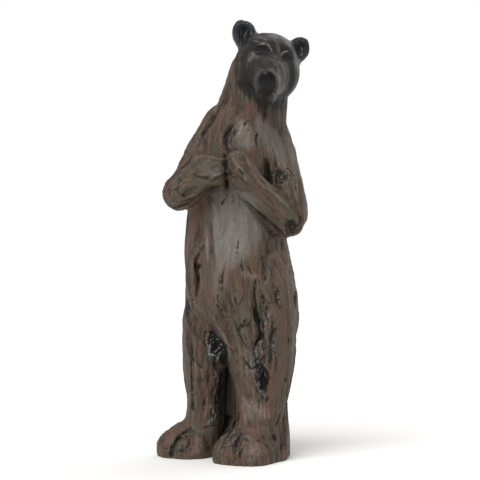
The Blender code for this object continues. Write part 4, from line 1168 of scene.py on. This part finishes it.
def mask_paint(bear, lines, knots, eyes):
    """Keeps, for each vertex, how much of each paint lies there."""
    mesh = bear.data
    points = positions(mesh)
    paint = {name: np.zeros(len(points)) for name in MASKS}
    for style, laid in lines:
        deep, _, holds = STYLES[style]
        for name, amount in holds.items():
            if name == "smoke_wash_and_shade" and deep > 0.0:
                edge, most = SMOKE_EDGE, SMOKE_EDGE[1]
            else:
                edge, most = CUT_EDGE if deep > SETTLES else EDGES.get(name, EDGE), NEAR
            near, share = nearness(points, laid, most)
            raise_to(paint[name], near, amount * (1.0 - smoothstep(*edge, share)))
    for knot in knots:
        near, share, ripple = knot_field(points, knot)
        grey = knot[7]
        fade = 1.0 - smoothstep(0.55, KNOT_EDGE, share)
        raise_to(paint["soot_wash_and_shade"], near, fade * (RING_SOOT + GREY_SOOT * grey) * (1.0 - ripple))
        raise_to(paint["smoke_wash_and_shade"], near, fade)
        raise_to(paint["silver_and_highlight"], near, fade * grey * np.clip(ripple, 0, 1))
    for eye in eyes:
        near, form = eye_field(points, eye)
        raise_to(paint["gloss"], near, np.minimum(1.0, 2.0 * form))
    sharp, broad = turning(mesh, SHARP_PASSES), turning(mesh, BROAD_PASSES)
    head = 1.0 - smoothstep(*HEAD_PAINTED, out_of(points, HEAD))
    paint["soot_wash_and_shade"] += held(-sharp, -broad) + PIT_SOOT * read(mesh, "pits")
    paint["soot_wash_and_shade"] = np.clip(paint["soot_wash_and_shade"], 0.0, 1.0)
    paint["silver_and_highlight"] = np.maximum(paint["silver_and_highlight"], CREST_SILVER * read(mesh, "crests"))
    paint["smoke_wash_and_shade"] = np.maximum(paint["smoke_wash_and_shade"], WORN_SMOKE * paint["worn"])
    paint["edge"] = held(sharp, broad) * (1.0 - HEAD_SPARED * head)
    paint["head"] = head
    paint["ears"] = 1.0 - smoothstep(*EARS_PAINTED, out_of(points, EARS))
    for name, values in paint.items():
        store(mesh, name, values)


def driftwood_resin(paint):
    """Painted casting resin, moulded from weathered wood. The paint is satin over a matt resin,
    laid as a brown ground with streaks along the grain, patches of rust and moss, a grey wash, a
    black wash in every hollow and a dry brush of tan on the edges; it looks like old wood. Its
    highlights are partly those of varnish and partly painted highlights of haze and silver on the
    head, the far eye and the nose, and the dark washes also lay painted shade on the face, under the
    head and the arms and between the legs. The head has a dark olive coat. The black of ears, eyes
    and nose is smooth, with broad soft highlights."""
    material = bpy.data.materials.new("driftwood_painted_resin")
    material.use_nodes = True
    tree = material.node_tree
    shader = tree.nodes["Principled BSDF"]
    for name, value in (("IOR", 1.5), ("Specular IOR Level", 0.24), ("Metallic", 0.0)):
        shader.inputs[name].default_value = value
    kept = {
        name: add(tree, "ShaderNodeAttribute", attribute_name=name, attribute_type="GEOMETRY").outputs
        for name in (*MASKS, "grain")
    }
    mask = {name: kept[name]["Fac"] for name in MASKS}
    grain, place = kept["grain"]["Vector"], add(tree, "ShaderNodeTexCoord").outputs["Object"]
    pattern = {}
    # Each pattern: what it follows, its size across and along in mm, and its detail
    for name, source, across, along, detail in (
        ("fibre", grain, 2.6, 60.0, 3.0),
        ("bundle", grain, 8.0, 140.0, 3.0),
        ("stain", place, 45.0, 90.0, 3.0),
        ("patch", grain, 26.0, 90.0, 4.0),
        ("splint", grain, 1.8, 14.0, 3.0),
        ("speck", place, 4.0, 5.0, 3.0),
    ):
        scaled = add(tree, "ShaderNodeVectorMath", {
            0: source, 1: (1000 / across, 1000 / across, 1000 / along),
        }, operation="MULTIPLY")
        pattern[name] = add(tree, "ShaderNodeTexNoise", {
            "Vector": scaled, "Scale": 1.0, "Detail": detail, "Roughness": 0.62, "Distortion": 0.3,
        })
    # Each coat: colour, mask, pattern that breaks it up and how much, then where it starts and
    # is full, and the most that it covers.
    # The rubbed haze and some of the silver are painted highlights on the head, the eye and the nose; the
    # smoke and the soot also lay painted shade.
    coats = (
        (paint.umber, None, "bundle", 1.0, 0.42, 0.70, 0.85),
        (paint.umber, None, "fibre", 1.0, 0.44, 0.66, 0.8),
        (paint.umber, None, "splint", 1.0, 0.50, 0.72, 0.6),
        (paint.rust, "rust", "stain", 2.2, 0.15, 0.95, 0.85),
        (paint.rust, None, "stain", 1.0, 0.49, 0.66, 0.55),
        (paint.moss, None, "patch", 1.0, 0.51, 0.66, 0.7),
        (paint.ash, "ash", "bundle", 1.2, 0.08, 0.9, 0.9),
        (paint.ash, "ash", "fibre", 2.6, 0.45, 1.1, 0.55),
        (paint.rose, "rose", "fibre", 2.0, 0.2, 1.0, 0.8),
        (paint.dusk, "head", "bundle", 1.8, 0.2, 0.8, 0.97),
        (paint.haze_and_highlight, "head", "patch", 2.0, 0.95, 1.6, 0.35),
        (paint.haze_and_highlight, "rub_and_highlight", "patch", 1.6, 0.1, 1.1, 0.8),
        (paint.haze_and_highlight, "edge", "patch", 2.2, 0.35, 1.1, 0.5),
        (paint.tan, "edge", "splint", 1.8, 0.35, 1.1, 0.5),
        (paint.tan, "tan", "fibre", 1.8, 0.3, 1.0, 0.6),
        (paint.smoke_wash_and_shade, "smoke_wash_and_shade", "bundle", 2.0, 0.2, 1.0, 0.85),
        (paint.slate, "ears", "speck", 0.3, 0.35, 0.6, 1.0),
        (paint.gloss, "gloss", "speck", 0.3, 0.35, 0.6, 1.0),
        (paint.silver_and_highlight, "silver_and_highlight", "splint", 1.8, 0.25, 1.0, 0.75),
        (paint.soot_wash_and_shade, "soot_wash_and_shade", "splint", 1.2, 0.25, 0.75, 1.0),
    )
    colour = (*paint.brown, 1.0)
    amounts = {}
    for coat, where, broken_by, spread, start, full, most in coats:
        breakup = add(tree, "ShaderNodeMath", {0: pattern[broken_by], 1: 0.5}, operation="SUBTRACT")
        broken = add(tree, "ShaderNodeMath", {
            0: breakup, 1: spread, 2: mask[where] if where else 0.5,
        }, operation="MULTIPLY_ADD")
        amount = add(tree, "ShaderNodeMapRange", {
            "Value": broken, "From Min": start, "From Max": full, "To Max": most,
        }, interpolation_type="SMOOTHSTEP")
        amounts.setdefault(where, amount)
        colour = add(tree, "ShaderNodeMix", {
            0: amount, MIX_A: colour, MIX_B: (*coat, 1.0),
        }, data_type="RGBA").outputs[MIX_RESULT]
    tree.links.new(colour, shader.inputs["Base Color"])
    # Varnish lies uneven on the fibres, is dull under the dark washes and thick on the black parts.
    shine = add(tree, "ShaderNodeMapRange", {
        "Value": pattern["fibre"], "To Min": 0.40, "To Max": 0.62,
    })
    for name, roughness in (
        ("head", 0.42), ("smoke_wash_and_shade", 0.74), ("ears", 0.27), ("gloss", 0.28), ("soot_wash_and_shade", 0.66),
    ):
        shine = add(tree, "ShaderNodeMix", {
            0: amounts[name], MIX_LOW: shine, MIX_HIGH: roughness,
        }, data_type="FLOAT")
    tree.links.new(shine.outputs[0], shader.inputs["Roughness"])
    # The head and the black parts are smooth; elsewhere the finest fibres are felt.
    plain = add(tree, "ShaderNodeMath", {0: mask["head"], 1: mask["gloss"]}, operation="MAXIMUM")
    keen = add(tree, "ShaderNodeMapRange", {"Value": plain, "To Min": 0.85, "To Max": 0.12})
    heights = add(tree, "ShaderNodeMath", {
        0: pattern["fibre"], 1: pattern["speck"],
    }, operation="ADD")
    bump = add(tree, "ShaderNodeBump", {"Strength": keen, "Distance": 0.0008, "Height": heights})
    tree.links.new(bump.outputs[0], shader.inputs["Normal"])
    return material


def studio_floor():
    """Matt pale paint on a plain floor: even and without gloss, so it gives only a soft shadow."""
    material = bpy.data.materials.new("studio_floor_matt_paint")
    material.use_nodes = True
    shader = material.node_tree.nodes["Principled BSDF"]
    shader.inputs["Base Color"].default_value = (*linear("#f4f3f1"), 1.0)
    shader.inputs["Roughness"].default_value = 0.9
    return material


def lay_floor(side):
    """The plain square floor under the bear."""
    half = side / 2
    mesh = bpy.data.meshes.new("floor")
    corners = [(-half, -half, 0), (half, -half, 0), (half, half, 0), (-half, half, 0)]
    mesh.from_pydata(corners, [], [(0, 1, 2, 3)])
    mesh.materials.append(studio_floor())
    floor = bpy.data.objects.new("floor", mesh)
    bpy.context.scene.collection.objects.link(floor)


def hang_light(name, strength, spread, source):
    """A sun that shines from this side, soft-edged by its spread in degrees."""
    lamp = bpy.data.lights.new(name, "SUN")
    lamp.energy, lamp.angle = strength, math.radians(spread)
    lit = bpy.data.objects.new(name, lamp)
    lit.rotation_mode = "QUATERNION"
    lit.rotation_quaternion = (-Vector(source)).to_track_quat("-Z", "Y")
    bpy.context.scene.collection.objects.link(lit)


def white_sky(strength):
    """An even sky that lights at this strength and is seen as pure white."""
    world = bpy.data.worlds.new("studio")
    world.use_nodes = True
    tree = world.node_tree
    sky = tree.nodes["Background"]
    sky.inputs["Color"].default_value = (1.0, 1.0, 1.0, 1.0)
    sky.inputs["Strength"].default_value = strength
    backdrop = add(tree, "ShaderNodeBackground", {"Color": (1.0, 1.0, 1.0, 1.0), "Strength": 1.0})
    seen = add(tree, "ShaderNodeLightPath").outputs["Is Camera Ray"]
    both = add(tree, "ShaderNodeMixShader", {0: seen, 1: sky, 2: backdrop})
    tree.links.new(both.outputs[0], tree.nodes["World Output"].inputs["Surface"])
    bpy.context.scene.world = world


def set_camera():
    """The camera at the eye, level, with its view moved to where the figure stands."""
    lens = bpy.data.cameras.new("camera")
    lens.sensor_width = SENSOR_MM
    lens.lens = SENSOR_MM * FOCAL / VIEW_SIDE
    lens.shift_y = (VIEW_MIDDLE[1] - VIEW_SIDE / 2) / VIEW_SIDE
    camera = bpy.data.objects.new("camera", lens)
    camera.location = EYE
    camera.rotation_euler = (math.pi / 2, 0.0, 0.0)
    bpy.context.scene.collection.objects.link(camera)
    bpy.context.scene.camera = camera


class BEAR_OT_carve(Operator):
    """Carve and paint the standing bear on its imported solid"""

    bl_idname = "bear.carve"
    bl_label = "Carve the bear"

    def execute(self, context):
        carving = context.scene.bear_carving
        bear = rounded_solid()
        reskin(bear, carving.skin_cell, passes=3)
        tree = BVHTree.FromPolygons(
            positions(bear.data).tolist(), [tuple(face.vertices) for face in bear.data.polygons]
        )
        lines, knots, eyes = drawn_lines(tree, carving), knot_places(tree), eye_places(tree)
        cut_in(bear, lines, knots, eyes)
        reskin(bear, carving.skin_cell, passes=1)
        points = positions(bear.data)
        body = smoothstep(*HEAD_SMOOTH, out_of(points, HEAD))
        store(bear.data, "grain", grain_of(points, tree, knots))
        store(bear.data, "worn", worn_places(points, lines, knots))
        store(bear.data, "rough", HEAD_FIBRES + (1.0 - HEAD_FIBRES) * body)
        raise_fibres(bear, carving, driftwood_resin(context.scene.bear_paint))
        thin_out(bear, carving.triangles)
        keep_in_box(bear.data)
        mask_paint(bear, lines, knots, eyes)
        bear.data.shade_smooth()
        bear.data.name = bear.name
        if len(bear.data.polygons) >= FACES_MOST:
            raise RuntimeError("the carved bear has too many faces")
        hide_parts("bear_statue")
        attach(bear, "root")
        return {"FINISHED"}


class BEAR_OT_stage(Operator):
    """Set the floor, the lights and the camera"""

    bl_idname = "bear.stage"
    bl_label = "Set the stage"

    def execute(self, context):
        settings = context.scene.bear_stage
        lay_floor(settings.floor_side)
        hang_light("key_light", settings.key, 40.0, (-0.8, -1.5, 2.3))
        hang_light("back_light", settings.back, 60.0, (1.6, 1.8, 1.6))
        white_sky(settings.sky)
        set_camera()
        context.scene.view_settings.view_transform = "Standard"
        return {"FINISHED"}


class BEAR_PT_panel(Panel):
    """The bear's values and its two steps in the sidebar"""

    bl_idname = "BEAR_PT_panel"
    bl_label = "Driftwood bear"
    bl_space_type = "VIEW_3D"
    bl_region_type = "UI"
    bl_category = "Bear"

    def draw(self, context):
        for group, operator in (
            (context.scene.bear_carving, None),
            (context.scene.bear_paint, BEAR_OT_carve),
            (context.scene.bear_stage, BEAR_OT_stage),
        ):
            box = self.layout.box()
            for name in group.__annotations__:
                box.prop(group, name)
            if operator:
                box.operator(operator.bl_idname)


CLASSES = (BearCarving, BearPaint, BearStage, BEAR_OT_carve, BEAR_OT_stage, BEAR_PT_panel)


def register():
    """Makes the values, the steps and the panel known to Blender."""
    for cls in CLASSES:
        bpy.utils.register_class(cls)
    bpy.types.Scene.bear_carving = PointerProperty(type=BearCarving)
    bpy.types.Scene.bear_paint = PointerProperty(type=BearPaint)
    bpy.types.Scene.bear_stage = PointerProperty(type=BearStage)


def unregister():
    """Takes them out again."""
    del bpy.types.Scene.bear_stage, bpy.types.Scene.bear_paint, bpy.types.Scene.bear_carving
    for cls in reversed(CLASSES):
        bpy.utils.unregister_class(cls)


def main():
    """Carves the bear and sets the stage."""
    register()
    bpy.ops.bear.carve()
    bpy.ops.bear.stage()


if __name__ == "__main__":
    main()
